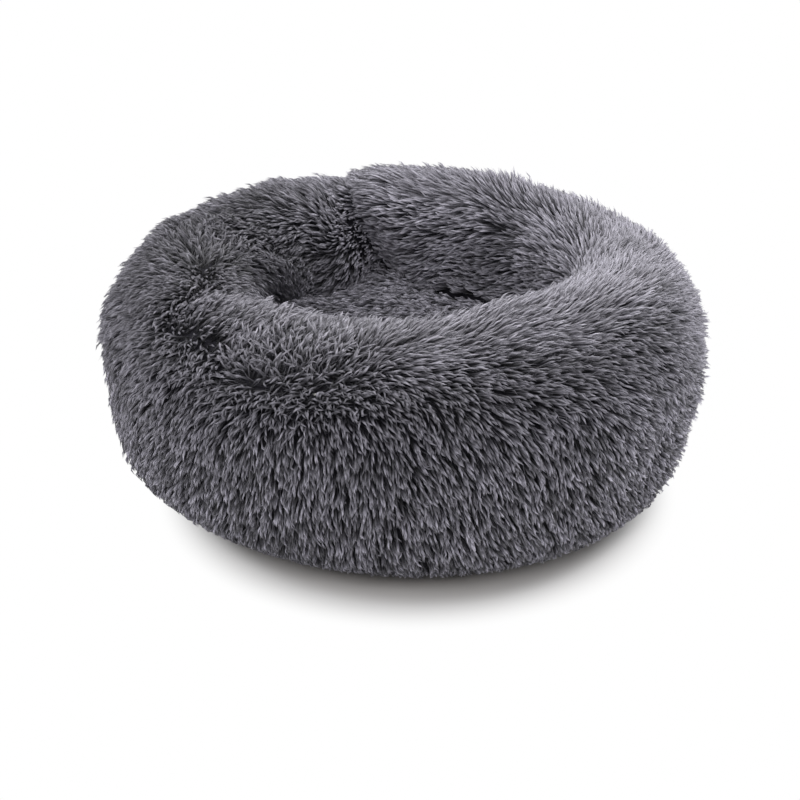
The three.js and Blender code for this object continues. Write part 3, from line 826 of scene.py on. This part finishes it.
def plant(field, combing, material, names):
    """Plants the pile of one backing, in pieces by azimuth, one for each name."""
    pile = bpy.context.scene.petbed_pile
    chance = np.random.default_rng(pile.seed + len(field.strip))
    # Each kind's name, spacing, strands, their width, the heights of their rings, and their width along them
    kinds = (
        ("locks", pile.lock_spacing, 3, pile.strand_width, (0.78,), ((0, 0.78, 1), (0.6, 1.0, 0))),
        ("hairs", pile.hair_spacing, 1, pile.hair_width, (), ((0, 1), (1.0, 0))),
    )
    for kind, spacing, strands, width, rings, profile in kinds:
        neat = kind == "locks"
        (places, normals, heights, sleek, open_and_shaded, even, low, deep, azimuth, lays, parting, seamward,
         crease) = spots(field, combing, spacing, neat, chance)
        count = len(places)
        wild = wildness(places)
        calm = falling(crease, CREASE_CALM)
        grown = 0.5 + 0.5 * rising(places[:, 2], FOOT_FROM, FOOT_FADE)
        lays += waves(places, 60 * MM, 21) * 0.16 + waves(places, 17 * MM, 22) * (0.13 - 0.05 * sleek)
        loose = (0.15 if neat else 0.3) * (1 - 0.5 * sleek) + 0.45 * parting * (1 - calm) + wild
        lays += chance.normal(size=count) * loose
        pull, edge = gathered(places, normals, lays, field)
        lengths = pile.lock_length * np.clip(1 + 0.12 * chance.normal(size=count), 0.7, 1.35)
        lengths *= (1 + 0.3 * sleek) * (1 - 0.15 * parting) * grown
        lengths *= 1 - 0.4 * falling(crease, CREASE_SHORT)
        standing = (1 - 0.1 * parting) * (1 - 0.6 * falling(crease, CREASE_SUNK)) * (1 - 0.2 * deep)
        heights *= standing * grown * (1 - 0.3 * calm)
        # What lies towards the crease ends before it, so that the crease stays open.
        crossing = (seamward * lying(places, normals, lays)).sum(axis=1) > 0.2 * crease
        room = np.maximum(crease - CREASE_STOP, SHORTEST)
        lengths = np.where(crossing, np.minimum(lengths, room), lengths)
        lift = 1.15 + (0.2 - 0.08 * sleek) * chance.normal(size=count) - (0.42 + 0.13 * low) * edge
        heights = np.minimum(heights * np.clip(lift, 0.45, 1.45) * (1 - 0.2 * sleek), 0.6 * lengths)
        # The tone is a band of the pile's map. Painted shade makes it darker at a streak's edge, in the
        # crease, deep on the inner wall at the left, where the pile stands open and where it parts; it is a
        # little lighter low on the outer wall.
        tone = 4.1 + (1.0 + 1.0 * low - 0.7 * even) * chance.normal(size=count)
        tone += 0.5 * waves(places, 40 * MM, 31)
        tone -= (1.6 + 2.2 * low) * (1 - 0.8 * even) * edge + 0.7 * even + 0.8 * open_and_shaded - 0.5 * low
        tone -= 2.2 * falling(crease, CREASE_SUNK) + 0.9 * deep + 0.2 * parting
        locks = {
            "place": places, "normal": normals, "height": heights, "lay": lays, "length": lengths,
            "tone": tone, "even": even, "open_and_shaded": open_and_shaded, "low": low, "apart": 1 + 0.25 * low,
            "sway": (0.6 + 0.6 * wild) * MM,
            "thick": np.clip(1 + 0.18 * chance.normal(size=count), 0.6, 1.5) * (1 - 0.2 * sleek),
            "pull": pull * (0.85 if neat else 0.3) * (1 + 0.18 * low - 0.4 * sleek)[:, None]}
        sector = (azimuth / 360 * len(names)).astype(int)
        for number, name in enumerate(names):
            picked = {what: values[sector == number] for what, values in locks.items()}
            mesh = grow(f"{name}_{kind}", picked, strands, width, rings, profile, chance)
            new_piece(f"{name}_{kind}", mesh, material)


def repeated(name, bm, moves):
    """A mesh with a copy of a small shape at each of these transforms. The shape's bmesh is let go."""
    corners = np.array([(*v.co, 1) for v in bm.verts])
    loops = np.array([v.index for f in bm.faces for v in f.verts])
    sizes = np.array([len(f.verts) for f in bm.faces])
    bm.free()
    moves = np.array([[list(row) for row in move] for move in moves])
    return filled_mesh(name, np.einsum("nij,cj->nci", moves[:, :3], corners), loops, sizes, None)


# Finishes


def node(tree, kind, settings=None, inputs=None):
    """Adds a shader node with its settings, and its sockets' values or links. A node given as a value stands
    for its first output."""
    made = tree.nodes.new("ShaderNode" + kind)
    for name, value in (settings or {}).items():
        setattr(made, name, value)
    for socket, value in (inputs or {}).items():
        if isinstance(value, bpy.types.Node):
            value = value.outputs[0]
        if isinstance(value, bpy.types.NodeSocket):
            tree.links.new(value, made.inputs[socket])
        else:
            made.inputs[socket].default_value = value
    return made


def new_material(name):
    """A material, its tree, and where each point lies on the bed, which its first node gives."""
    material = bpy.data.materials.new(name)
    material.use_nodes = True
    tree = material.node_tree
    tree.nodes.clear()
    return material, tree, node(tree, "TexCoord").outputs["Object"]


def set_stops(ramp, stops):
    """Sets a colour ramp's stops from places and linear colours."""
    line = ramp.color_ramp
    while len(line.elements) < len(stops):
        line.elements.new(0.5)
    for element, (place, colour) in zip(line.elements, stops):
        element.position = place
        element.color = (*colour, 1)


def scaled(colour, share):
    """A colour made darker or paler."""
    return tuple(share * c for c in colour)


def surfaced(material, colour, height, strength, depth, shine, normal=None):
    """Ends a material with its colour, its relief, which has a height, a strength and a depth in mm, and its
    shader's other values."""
    tree = material.node_tree
    relief = {"Strength": strength, "Distance": depth * MM, "Height": height}
    if normal:
        relief["Normal"] = normal
    bump = node(tree, "Bump", None, relief)
    values = {"Base Color": colour, "Normal": bump, **shine}
    shader = node(tree, "BsdfPrincipled", None, values)
    node(tree, "OutputMaterial", None, {0: shader})
    return material


WAVE_PITCH = 0.314  # from band to band of a wave texture whose scale is 1


def plush_pile():
    """Long plush: drawn polyester fibre, brushed into locks. Its roots are dark, partly its own colour and
    partly painted shade between the locks; it is paler and softly shiny at the tips, with single fibres
    running along each lock."""
    pile = bpy.context.scene.petbed_pile
    material, tree, place = new_material("Long plush pile")
    lock_map = node(tree, "UVMap", {"uv_map": "OFBake"})
    parts = node(tree, "SeparateXYZ", None, {0: lock_map})
    ramp = node(tree, "ValToRGB", None, {0: parts})
    root, body, tip = (tuple(c) for c in (pile.root_colour, pile.body_colour, pile.tip_colour))
    shade = tuple(0.75 * r + 0.25 * b for r, b in zip(root, body))
    # The dark stops near the root are partly the plush's own colour and partly painted shade between the
    # locks
    set_stops(ramp, [(0.0, root), (0.4, root), (0.6, shade), (0.84, body), (1.0, tip)])
    band = node(tree, "Math", {"operation": "MULTIPLY"}, {0: parts.outputs[1], 1: TINTS})
    whole = node(tree, "Math", {"operation": "FLOOR"}, {0: band})
    tint = node(tree, "MapRange", None, {0: whole, 1: 0, 2: TINTS - 1, 3: 0.3, 4: 1.75})
    stretch = node(
        tree, "Mapping", None, {0: lock_map, 3: (3.0, TINTS * 13.0, 1.0)})
    fibres = node(
        tree, "TexNoise", {"noise_dimensions": "2D"},
        {"Vector": stretch, "Scale": 1.0, "Detail": 2.0, "Roughness": 0.6})
    streak = node(
        tree, "MapRange", None, {0: fibres, 1: 0.3, 2: 0.7, 3: 0.82, 4: 1.18})
    shade_value = node(
        tree, "Math", {"operation": "MULTIPLY"}, {0: tint, 1: streak})
    colour = node(
        tree, "VectorMath", {"operation": "SCALE"}, {0: ramp, 3: shade_value})
    # Light spreads from fibre to fibre, most of all in the brushed pile on the crest, so the shading there
    # follows the ring's own roundness: the way from its core, which runs round the bed.
    flat = node(tree, "VectorMath", {"operation": "MULTIPLY"}, {0: place, 1: (1, 1, 0)})
    round_way = node(tree, "VectorMath", {"operation": "NORMALIZE"}, {0: flat})
    core = node(
        tree, "VectorMath", {"operation": "MULTIPLY_ADD"},
        {0: round_way, 1: (RING_CORE.x,) * 3, 2: (0, 0, RING_CORE.z)})
    away = node(tree, "VectorMath", {"operation": "SUBTRACT"}, {0: place, 1: core})
    way = node(tree, "VectorMath", {"operation": "NORMALIZE"}, {0: away})
    upward = node(tree, "SeparateXYZ", None, {0: way})
    spread = node(
        tree, "MapRange", None, {0: upward.outputs[2], 1: 0.3, 2: 0.95, 3: 0.15, 4: 0.72})
    own = node(tree, "NewGeometry")
    normal = node(
        tree, "Mix", {"data_type": "VECTOR"},
        {0: spread, 4: own.outputs["Normal"], 5: way})
    shine = {"Roughness": 0.58, "Sheen Weight": 0.2, "Sheen Roughness": 0.5, "Specular IOR Level": 0.4}
    return surfaced(
        material, colour, fibres, 0.35, 0.15, shine, normal=normal.outputs[1])


def knitted_backing():
    """Warp-knitted polyester backing cloth: fine dark ribs, 1.2 mm apart, seen only where the pile parts."""
    root = tuple(bpy.context.scene.petbed_pile.root_colour)
    material, tree, place = new_material("Knitted backing")
    ribs = node(
        tree, "TexWave", {"bands_direction": "Z"},
        {"Vector": place, "Scale": WAVE_PITCH / (1.2 * MM), "Distortion": 1.5, "Detail": 1.0})
    ramp = node(tree, "ValToRGB", None, {0: ribs.outputs["Fac"]})
    set_stops(ramp, [(0.0, scaled(root, 0.6)), (1.0, root)])
    return surfaced(material, ramp, ribs.outputs["Fac"], 0.5, 0.3, {"Roughness": 0.9})


def fibre_stuffing():
    """Crimped hollow polyester fibre: a soft white mass of tangled fibres in small clots."""
    material, tree, place = new_material("Polyester fibre stuffing")
    clots = node(
        tree, "TexNoise", None,
        {"Vector": place, "Scale": 70.0, "Detail": 5.0, "Roughness": 0.65, "Distortion": 1.2})
    ramp = node(tree, "ValToRGB", None, {0: clots})
    set_stops(ramp, [(0.3, linear("d6d5cf")), (0.7, linear("f1f0ec"))])
    shine = {"Roughness": 0.85, "Sheen Weight": 0.4}
    return surfaced(material, ramp, clots, 0.7, 2, shine)


def woven_base_cloth():
    """Plain-woven polyester cloth with a coated back: a fine grid of dull threads. The real threads lie about
    0.5 mm apart; they are drawn 1.3 mm apart so that the weave shows."""
    cloth = tuple(bpy.context.scene.petbed_base.cloth_colour)
    material, tree, place = new_material("Woven base cloth")
    grid = {"Vector": place, "Scale": WAVE_PITCH / (1.3 * MM), "Distortion": 0.4, "Detail": 1.0}
    warp, weft = (
        node(tree, "TexWave", {"bands_direction": way}, grid).outputs["Fac"] for way in "XY")
    weave = node(tree, "Math", {"operation": "MAXIMUM"}, {0: warp, 1: weft})
    slubs = node(tree, "TexNoise", None, {"Vector": place, "Scale": 45.0, "Detail": 3.0})
    mix = node(
        tree, "Math", {"operation": "MULTIPLY"}, {0: weave, 1: slubs})
    ramp = node(tree, "ValToRGB", None, {0: mix})
    set_stops(ramp, [(0.1, scaled(cloth, 0.55)), (0.6, cloth)])
    return surfaced(material, ramp, weave, 0.6, 0.2, {"Roughness": 0.72})


def moulded_rubber():
    """Soft PVC rubber, printed hot on the cloth: smooth black domes with a dull skin."""
    colour = tuple(bpy.context.scene.petbed_base.dot_colour)
    material, tree, place = new_material("Moulded rubber")
    dust = node(tree, "TexNoise", None, {"Vector": place, "Scale": 400.0, "Detail": 3.0})
    ramp = node(tree, "ValToRGB", None, {0: dust})
    set_stops(ramp, [(0.35, colour), (0.75, scaled(colour, 1.8))])
    return surfaced(material, ramp, dust, 0.15, 0.1, {"Roughness": 0.48})


def sewing_thread():
    """Twisted polyester sewing thread: slanting plies, 0.5 mm apart, with a light sheen."""
    colour = tuple(bpy.context.scene.petbed_base.thread_colour)
    material, tree, place = new_material("Sewing thread")
    plies = node(
        tree, "TexWave", {"bands_direction": "DIAGONAL"},
        {"Vector": place, "Scale": WAVE_PITCH / (0.5 * MM)})
    ramp = node(tree, "ValToRGB", None, {0: plies.outputs["Fac"]})
    set_stops(ramp, [(0.0, scaled(colour, 0.6)), (1.0, scaled(colour, 1.2))])
    shine = {"Roughness": 0.5, "Sheen Weight": 0.3}
    return surfaced(material, ramp, plies.outputs["Fac"], 0.4, 0.1, shine)


SHADE_MIDDLE = (0.012, -0.055, 0.0)  # the middle of the shade on the floor
SHADE_FADE = (0.163, 0.213)  # radii between which the paper turns plain white
# Painted shadow: within these radii of the shade's middle the paper is painted a darker, browner grey
PAINTED_SHADOW_FADE = (0.135, 0.18)  # radii between which the dark under the bed ends


def studio_floor():
    """Pale seamless paper: it keeps the bed's shadow near the bed and is plain white further off. Near the
    bed's front a darker, browner shadow is also painted on it.
    """
    material, tree, place = new_material("Studio floor")
    near = node(tree, "VectorMath", {"operation": "DISTANCE"}, {0: place, 1: SHADE_MIDDLE})
    fade = node(
        tree, "MapRange", {"interpolation_type": "SMOOTHSTEP"},
        {0: near.outputs["Value"], 1: SHADE_FADE[0], 2: SHADE_FADE[1], 3: 0.0, 4: 1.0})
    # The painted shadow near the bed's front, which fades out across its radii
    under = node(
        tree, "MapRange", None,
        {0: near.outputs["Value"], 1: PAINTED_SHADOW_FADE[0], 2: PAINTED_SHADOW_FADE[1], 3: 0.0, 4: 1.0})
    to_camera = node(tree, "LightPath").outputs["Is Camera Ray"]
    shown = node(
        tree, "Mix", {"data_type": "RGBA"},
        {0: under, 6: (0.36, 0.34, 0.325, 1), 7: (0.70, 0.685, 0.68, 1)})
    seen = node(tree, "Math", {"operation": "MULTIPLY"}, {0: fade, 1: to_camera})
    tone = node(
        tree, "Mix", {"data_type": "RGBA"},
        {0: to_camera, 6: (0.55, 0.55, 0.56, 1), 7: shown.outputs[2]})
    paper = node(tree, "BsdfDiffuse", None, {0: tone.outputs[2]})
    white = node(tree, "Emission", None, {0: (1, 1, 1, 1), 1: 1.0})
    both = node(
        tree, "MixShader", None, {0: seen, 1: paper, 2: white})
    node(tree, "OutputMaterial", None, {0: both})
    return material


# The pieces


def finish(name, maker):
    """A finish by its name, made once."""
    return bpy.data.materials.get(name) or maker()


def dress(node_name, filling, cloth_name, pile_names, lowest, core=None):
    """A piece of plush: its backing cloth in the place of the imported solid, and its pile."""
    knit = finish("Knitted backing", knitted_backing)
    cloth = new_piece(cloth_name, backing(node_name, filling, core), knit, (node_name,))
    smooth = cloth.modifiers.new("Soft curve", "SUBSURF")
    smooth.levels = smooth.render_levels = 1
    field = Field(cloth, node_name, lowest)
    thick = cloth.modifiers.new("Cloth thickness", "SOLIDIFY")
    thick.thickness, thick.offset = 0.8 * MM, -1
    plant(field, Combing(), finish("Long plush pile", plush_pile), pile_names)
    return cloth


class PETBED_OT_outer_strip(bpy.types.Operator):
    """Sews the plush strip round the outside of the ring"""

    bl_idname = "petbed.outer_strip"
    bl_label = "Outer plush strip"

    def execute(self, context):
        names = [f"outer_pile_{i + 1}" for i in range(6)]
        dress("outer_strip", "ring_fill", "outer_strip_cloth", names, lowest=0)
        return {"FINISHED"}


class PETBED_OT_inner_strip(bpy.types.Operator):
    """Sews the plush strip over the crest and down the inside of the ring"""

    bl_idname = "petbed.inner_strip"
    bl_label = "Inner plush strip"

    def execute(self, context):
        names = [f"inner_pile_{i + 1}" for i in range(3)]
        dress("inner_strip", "ring_fill", "inner_strip_cloth", names, lowest=92 * MM)
        return {"FINISHED"}


class PETBED_OT_cushion(bpy.types.Operator):
    """Sews the plush cover over the sleeping cushion"""

    bl_idname = "petbed.cushion"
    bl_label = "Cushion cover"

    def execute(self, context):
        dress(
            "cushion_cover", "cushion_fill", "cushion_cloth", ["cushion_pile"], lowest=99 * MM,
            core=Vector((0, 0, 0.02)))
        return {"FINISHED"}


class PETBED_OT_stuffing(bpy.types.Operator):
    """Stuffs the ring and the cushion with loose fibre"""

    bl_idname = "petbed.stuffing"
    bl_label = "Fibre stuffing"

    def execute(self, context):
        for node_name, name in (("ring_fill", "ring_stuffing"), ("cushion_fill", "cushion_stuffing")):
            bm = merged_copy(node_name)
            join_up(bm)
            bmesh.ops.subdivide_edges(bm, edges=bm.edges, cuts=1, use_grid_fill=True)
            bm.normal_update()
            places = np.array([v.co for v in bm.verts])
            sunk = pressed(places) - (3.0 + 1.2 * waves(places, 22 * MM, 41)) * MM
            for vert, move in zip(bm.verts, sunk):
                if vert.co.z > 6 * MM:
                    vert.co += vert.normal * move
            fibre = finish("Polyester fibre stuffing", fibre_stuffing)
            piece = new_piece(name, mesh_from(bm, name), fibre, (node_name,))
        return {"FINISHED"}


def edge_line(node_name, top):
    """The outline of a node's lowest rim: a function from azimuth in radians to radius."""
    rim = [v.co.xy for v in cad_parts[node_name].data.vertices if v.co.z < top]
    corners = [rim[number] for number in convex_hull_2d(rim)]
    sides = zip(corners, corners[1:] + corners[:1])
    line = np.array([a.lerp(b, share) for a, b in sides for share in np.arange(0, 1, 0.1)])
    azimuth, radius = np.arctan2(line[:, 1], line[:, 0]), np.hypot(line[:, 0], line[:, 1])
    return lambda a: np.interp(a, azimuth, radius, period=2 * math.pi)


def dot_places():
    """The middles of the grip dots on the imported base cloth."""
    bm = merged_copy("base_cloth")
    spare = [f for f in bm.faces if f.calc_center_median().z > 0.05 * MM]
    bmesh.ops.delete(bm, geom=spare, context="FACES")
    places, left = [], set(bm.verts)
    while left:
        group, edge = set(), [left.pop()]
        while edge:
            vert = edge.pop()
            group.add(vert)
            for link in vert.link_edges:
                other = link.other_vert(vert)
                if other in left:
                    left.remove(other)
                    edge.append(other)
        group = sorted(group, key=lambda v: v.co[:])
        places.append(sum((v.co for v in group), Vector()) / len(group))
    bm.free()
    return sorted(places, key=lambda p: (round(p.y, 4), round(p.x, 4)))


HEM_WIDTH, HEM_EDGE = 5 * MM, 1 * MM  # the hem, and the strip in which it is turned over
CLOTH_THICKNESS, HEM_FOLD = 0.7 * MM, 0.45 * MM  # of the cloth, and of what the hem adds under it
LONGEST_SPOKE = 24 * MM  # longer edges of the cloth's mesh are halved
DOT_RADIUS, DOT_HEIGHT = 3.5 * MM, 1 * MM  # of a dot, whose upper half lies in the cloth


def new_corners(made):
    """The vertices among what a bmesh operation made."""
    return [g for g in made["geom"] if isinstance(g, bmesh.types.BMVert)]


class PETBED_OT_base_cloth(bpy.types.Operator):
    """Lays the woven base cloth under the bed, with its hem and rubber grip dots"""

    bl_idname = "petbed.base_cloth"
    bl_label = "Base cloth and grip dots"

    def execute(self, context):
        low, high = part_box("base_cloth")
        bm = merged_copy("base_cloth")
        spare = [f for f in bm.faces if f.normal.z < 0.9 or f.calc_center_median().z < high.z - 0.05 * MM]
        bmesh.ops.delete(bm, geom=spare, context="FACES")
        bmesh.ops.dissolve_faces(bm, faces=bm.faces)
        flat_area = sum(f.calc_area() for f in bm.faces)
        for width in (HEM_WIDTH, HEM_EDGE):
            inside = [f for f in bm.faces if len(f.verts) > 4]
            bmesh.ops.inset_region(
                bm, faces=inside, thickness=width, use_boundary=True, use_even_offset=True)
        bmesh.ops.poke(bm, faces=[f for f in bm.faces if len(f.verts) > 4])
        for _ in range(3):
            spokes = [e for e in bm.edges if e.calc_length() > LONGEST_SPOKE]
            bmesh.ops.subdivide_edges(bm, edges=spokes, cuts=1)
            bmesh.ops.triangulate(bm, faces=[f for f in bm.faces if len(f.verts) > 4])
        walls = bmesh.ops.extrude_face_region(bm, geom=bm.faces[:])
        bmesh.ops.translate(bm, verts=new_corners(walls), vec=(0, 0, -CLOTH_THICKNESS))
        bmesh.ops.recalc_face_normals(bm, faces=bm.faces)
        outline, under = edge_line("base_cloth", high.z + 1), []
        for face in bm.faces:
            middle = face.calc_center_median()
            inner_edge = outline(math.atan2(middle.y, middle.x)) - (HEM_WIDTH + HEM_EDGE)
            if face.normal.z < -0.5 and middle.xy.length > inner_edge:
                under.append(face)
        folded = bmesh.ops.extrude_face_region(bm, geom=under)
        bmesh.ops.translate(bm, verts=new_corners(folded), vec=(0, 0, -HEM_FOLD))
        bmesh.ops.delete(bm, geom=under, context="FACES_ONLY")
        bmesh.ops.recalc_face_normals(bm, faces=bm.faces)
        cloth = new_piece(
            "base_cloth_sewn", mesh_from(bm, "base_cloth_sewn"), finish("Woven base cloth", woven_base_cloth),
            ("base_cloth",))
        cloth.data.shade_flat()
        dot = bmesh.new()
        bmesh.ops.create_uvsphere(dot, u_segments=14, v_segments=6, radius=DOT_RADIUS)
        bmesh.ops.scale(dot, verts=dot.verts, vec=(1, 1, DOT_HEIGHT / DOT_RADIUS))
        dots = repeated(
            "grip_dots", dot, [Matrix.Translation((place.x, place.y, DOT_HEIGHT)) for place in dot_places()])
        rubber = new_piece("grip_dots", dots, finish("Moulded rubber", moulded_rubber))
        return {"FINISHED"}


class PETBED_OT_stitches(bpy.types.Operator):
    """Sews the seams that show under the bed"""

    bl_idname = "petbed.stitches"
    bl_label = "Stitches"

    def execute(self, context):
        settings = context.scene.petbed_base
        # Each seam's outline, how far outside it the stitches lie, their name, and their height
        lines = (
            (edge_line("base_cloth", 2 * MM), -2.6 * MM, "foot_seam_stitches", 0.2 * MM),
            (edge_line("cushion_cover", 3 * MM), 3 * MM, "floor_seam_stitches", 0.6 * MM),
        )
        for line, shift, name, height in lines:
            stitch = bmesh.new()
            bmesh.ops.create_uvsphere(stitch, u_segments=6, v_segments=5, radius=0.5)
            wide = settings.thread_width
            bmesh.ops.scale(stitch, verts=stitch.verts, vec=(wide, wide * 0.7, settings.stitch_length))
            around = np.linspace(0, 2 * math.pi, 721)
            radius = line(around) + shift
            x, y = radius * np.cos(around), radius * np.sin(around)
            way = np.concatenate([[0], np.cumsum(np.hypot(np.diff(x), np.diff(y)))])
            count = int(way[-1] / (settings.stitch_length + settings.stitch_gap))
            moves = []
            for number in range(count):
                spots = [(number + part) / count * way[-1] for part in (0, 0.5)]
                here, there = (Vector((np.interp(w, way, x), np.interp(w, way, y), height)) for w in spots)
                turn = (there - here).to_track_quat("Z", "Y").to_matrix().to_4x4()
                moves.append(Matrix.Translation(here) @ turn)
            thread = finish("Sewing thread", sewing_thread)
            new_piece(name, repeated(name, stitch, moves), thread)
        return {"FINISHED"}


LAMPS = (  # name, place, what it faces, width, and power as a share of the key lamp's
    ("Key lamp", (0.6, 0.7, 1.7), (0, 0, 0.1), 1.8, 1),
    ("Front fill lamp", (-0.35, -1.75, 1.7), (0, 0, 0.1), 1.6, 0.42),
    ("Left fill lamp", (-1.8, -0.5, 0.95), (0, 0, 0.1), 1.2, 0.33),
    ("Right fill lamp", (1.9, -0.4, 0.35), (0.1, 0, 0.1), 0.6, 0.25),
)
FLOOR_HALF = 6  # half the floor's width


class PETBED_OT_stage(bpy.types.Operator):
    """Sets up the camera, the lamps and the pale floor"""

    bl_idname = "petbed.stage"
    bl_label = "Stage"

    def execute(self, context):
        scene, settings = context.scene, context.scene.petbed_stage
        camera = bpy.data.objects.new("Camera", bpy.data.cameras.new("Camera"))
        camera.data.lens, camera.data.sensor_width = settings.lens, SENSOR_WIDTH
        camera.data.clip_start, camera.data.clip_end = 0.05, 50
        camera.location = camera_place(settings)
        right, up, back = camera_axes(settings)
        camera.rotation_euler = Matrix((right, up, back)).transposed().to_euler()
        scene.collection.objects.link(camera)
        scene.camera = camera
        for name, place, aim, side, share in LAMPS:
            lamp = bpy.data.lights.new(name, "AREA")
            lamp.shape, lamp.size, lamp.energy = "SQUARE", side, settings.key_power * share
            holder = bpy.data.objects.new(name, lamp)
            holder.location = place
            holder.rotation_euler = (Vector(place) - Vector(aim)).to_track_quat("Z", "Y").to_euler()
            scene.collection.objects.link(holder)
        bm = bmesh.new()
        bmesh.ops.create_grid(bm, x_segments=1, y_segments=1, size=FLOOR_HALF)
        floor = bpy.data.objects.new("Floor", mesh_from(bm, "Floor"))
        floor.data.materials.append(studio_floor())
        scene.collection.objects.link(floor)
        world = bpy.data.worlds.new("Room")
        scene.world = world
        world.use_nodes = True
        tree = world.node_tree
        tree.nodes.clear()
        path = node(tree, "LightPath")
        room = node(tree, "Background", None, {0: (1, 1, 1, 1), 1: settings.room_light})
        white = node(tree, "Background", None, {0: (1, 1, 1, 1), 1: 1.0})
        both = node(
            tree, "MixShader", None,
            {0: path.outputs["Is Camera Ray"], 1: room, 2: white})
        node(tree, "OutputWorld", None, {0: both})
        scene.view_settings.view_transform = "Standard"
        return {"FINISHED"}


class PETBED_PT_panel(bpy.types.Panel):
    """Lists the bed's pieces and their settings"""

    bl_label = "Pet bed"
    bl_idname = "PETBED_PT_panel"
    bl_space_type = "VIEW_3D"
    bl_region_type = "UI"
    bl_category = "Pet bed"

    def draw(self, context):
        for title in ("Pile", "Base", "Stage"):
            group = getattr(context.scene, f"petbed_{title.lower()}")
            box = self.layout.box()
            box.label(text=title)
            for name in group.bl_rna.properties.keys():
                if name not in ("rna_type", "name"):
                    box.prop(group, name)
        for operator in OPERATORS:
            self.layout.operator(operator.bl_idname)


OPERATORS = (
    PETBED_OT_stage, PETBED_OT_stuffing, PETBED_OT_base_cloth, PETBED_OT_outer_strip, PETBED_OT_inner_strip,
    PETBED_OT_cushion, PETBED_OT_stitches)
CLASSES = (PileSettings, BaseSettings, StageSettings, *OPERATORS, PETBED_PT_panel)


def register():
    for cls in CLASSES:
        bpy.utils.register_class(cls)
    bpy.types.Scene.petbed_pile = PointerProperty(type=PileSettings)
    bpy.types.Scene.petbed_base = PointerProperty(type=BaseSettings)
    bpy.types.Scene.petbed_stage = PointerProperty(type=StageSettings)


def unregister():
    del bpy.types.Scene.petbed_pile, bpy.types.Scene.petbed_base, bpy.types.Scene.petbed_stage
    for cls in reversed(CLASSES):
        bpy.utils.unregister_class(cls)


def main():
    """Makes the whole bed and its stage."""
    register()
    bpy.ops.petbed.stage()
    bpy.ops.petbed.stuffing()
    bpy.ops.petbed.base_cloth()
    bpy.ops.petbed.outer_strip()
    bpy.ops.petbed.inner_strip()
    bpy.ops.petbed.cushion()
    bpy.ops.petbed.stitches()


if __name__ == "__main__":
    main()
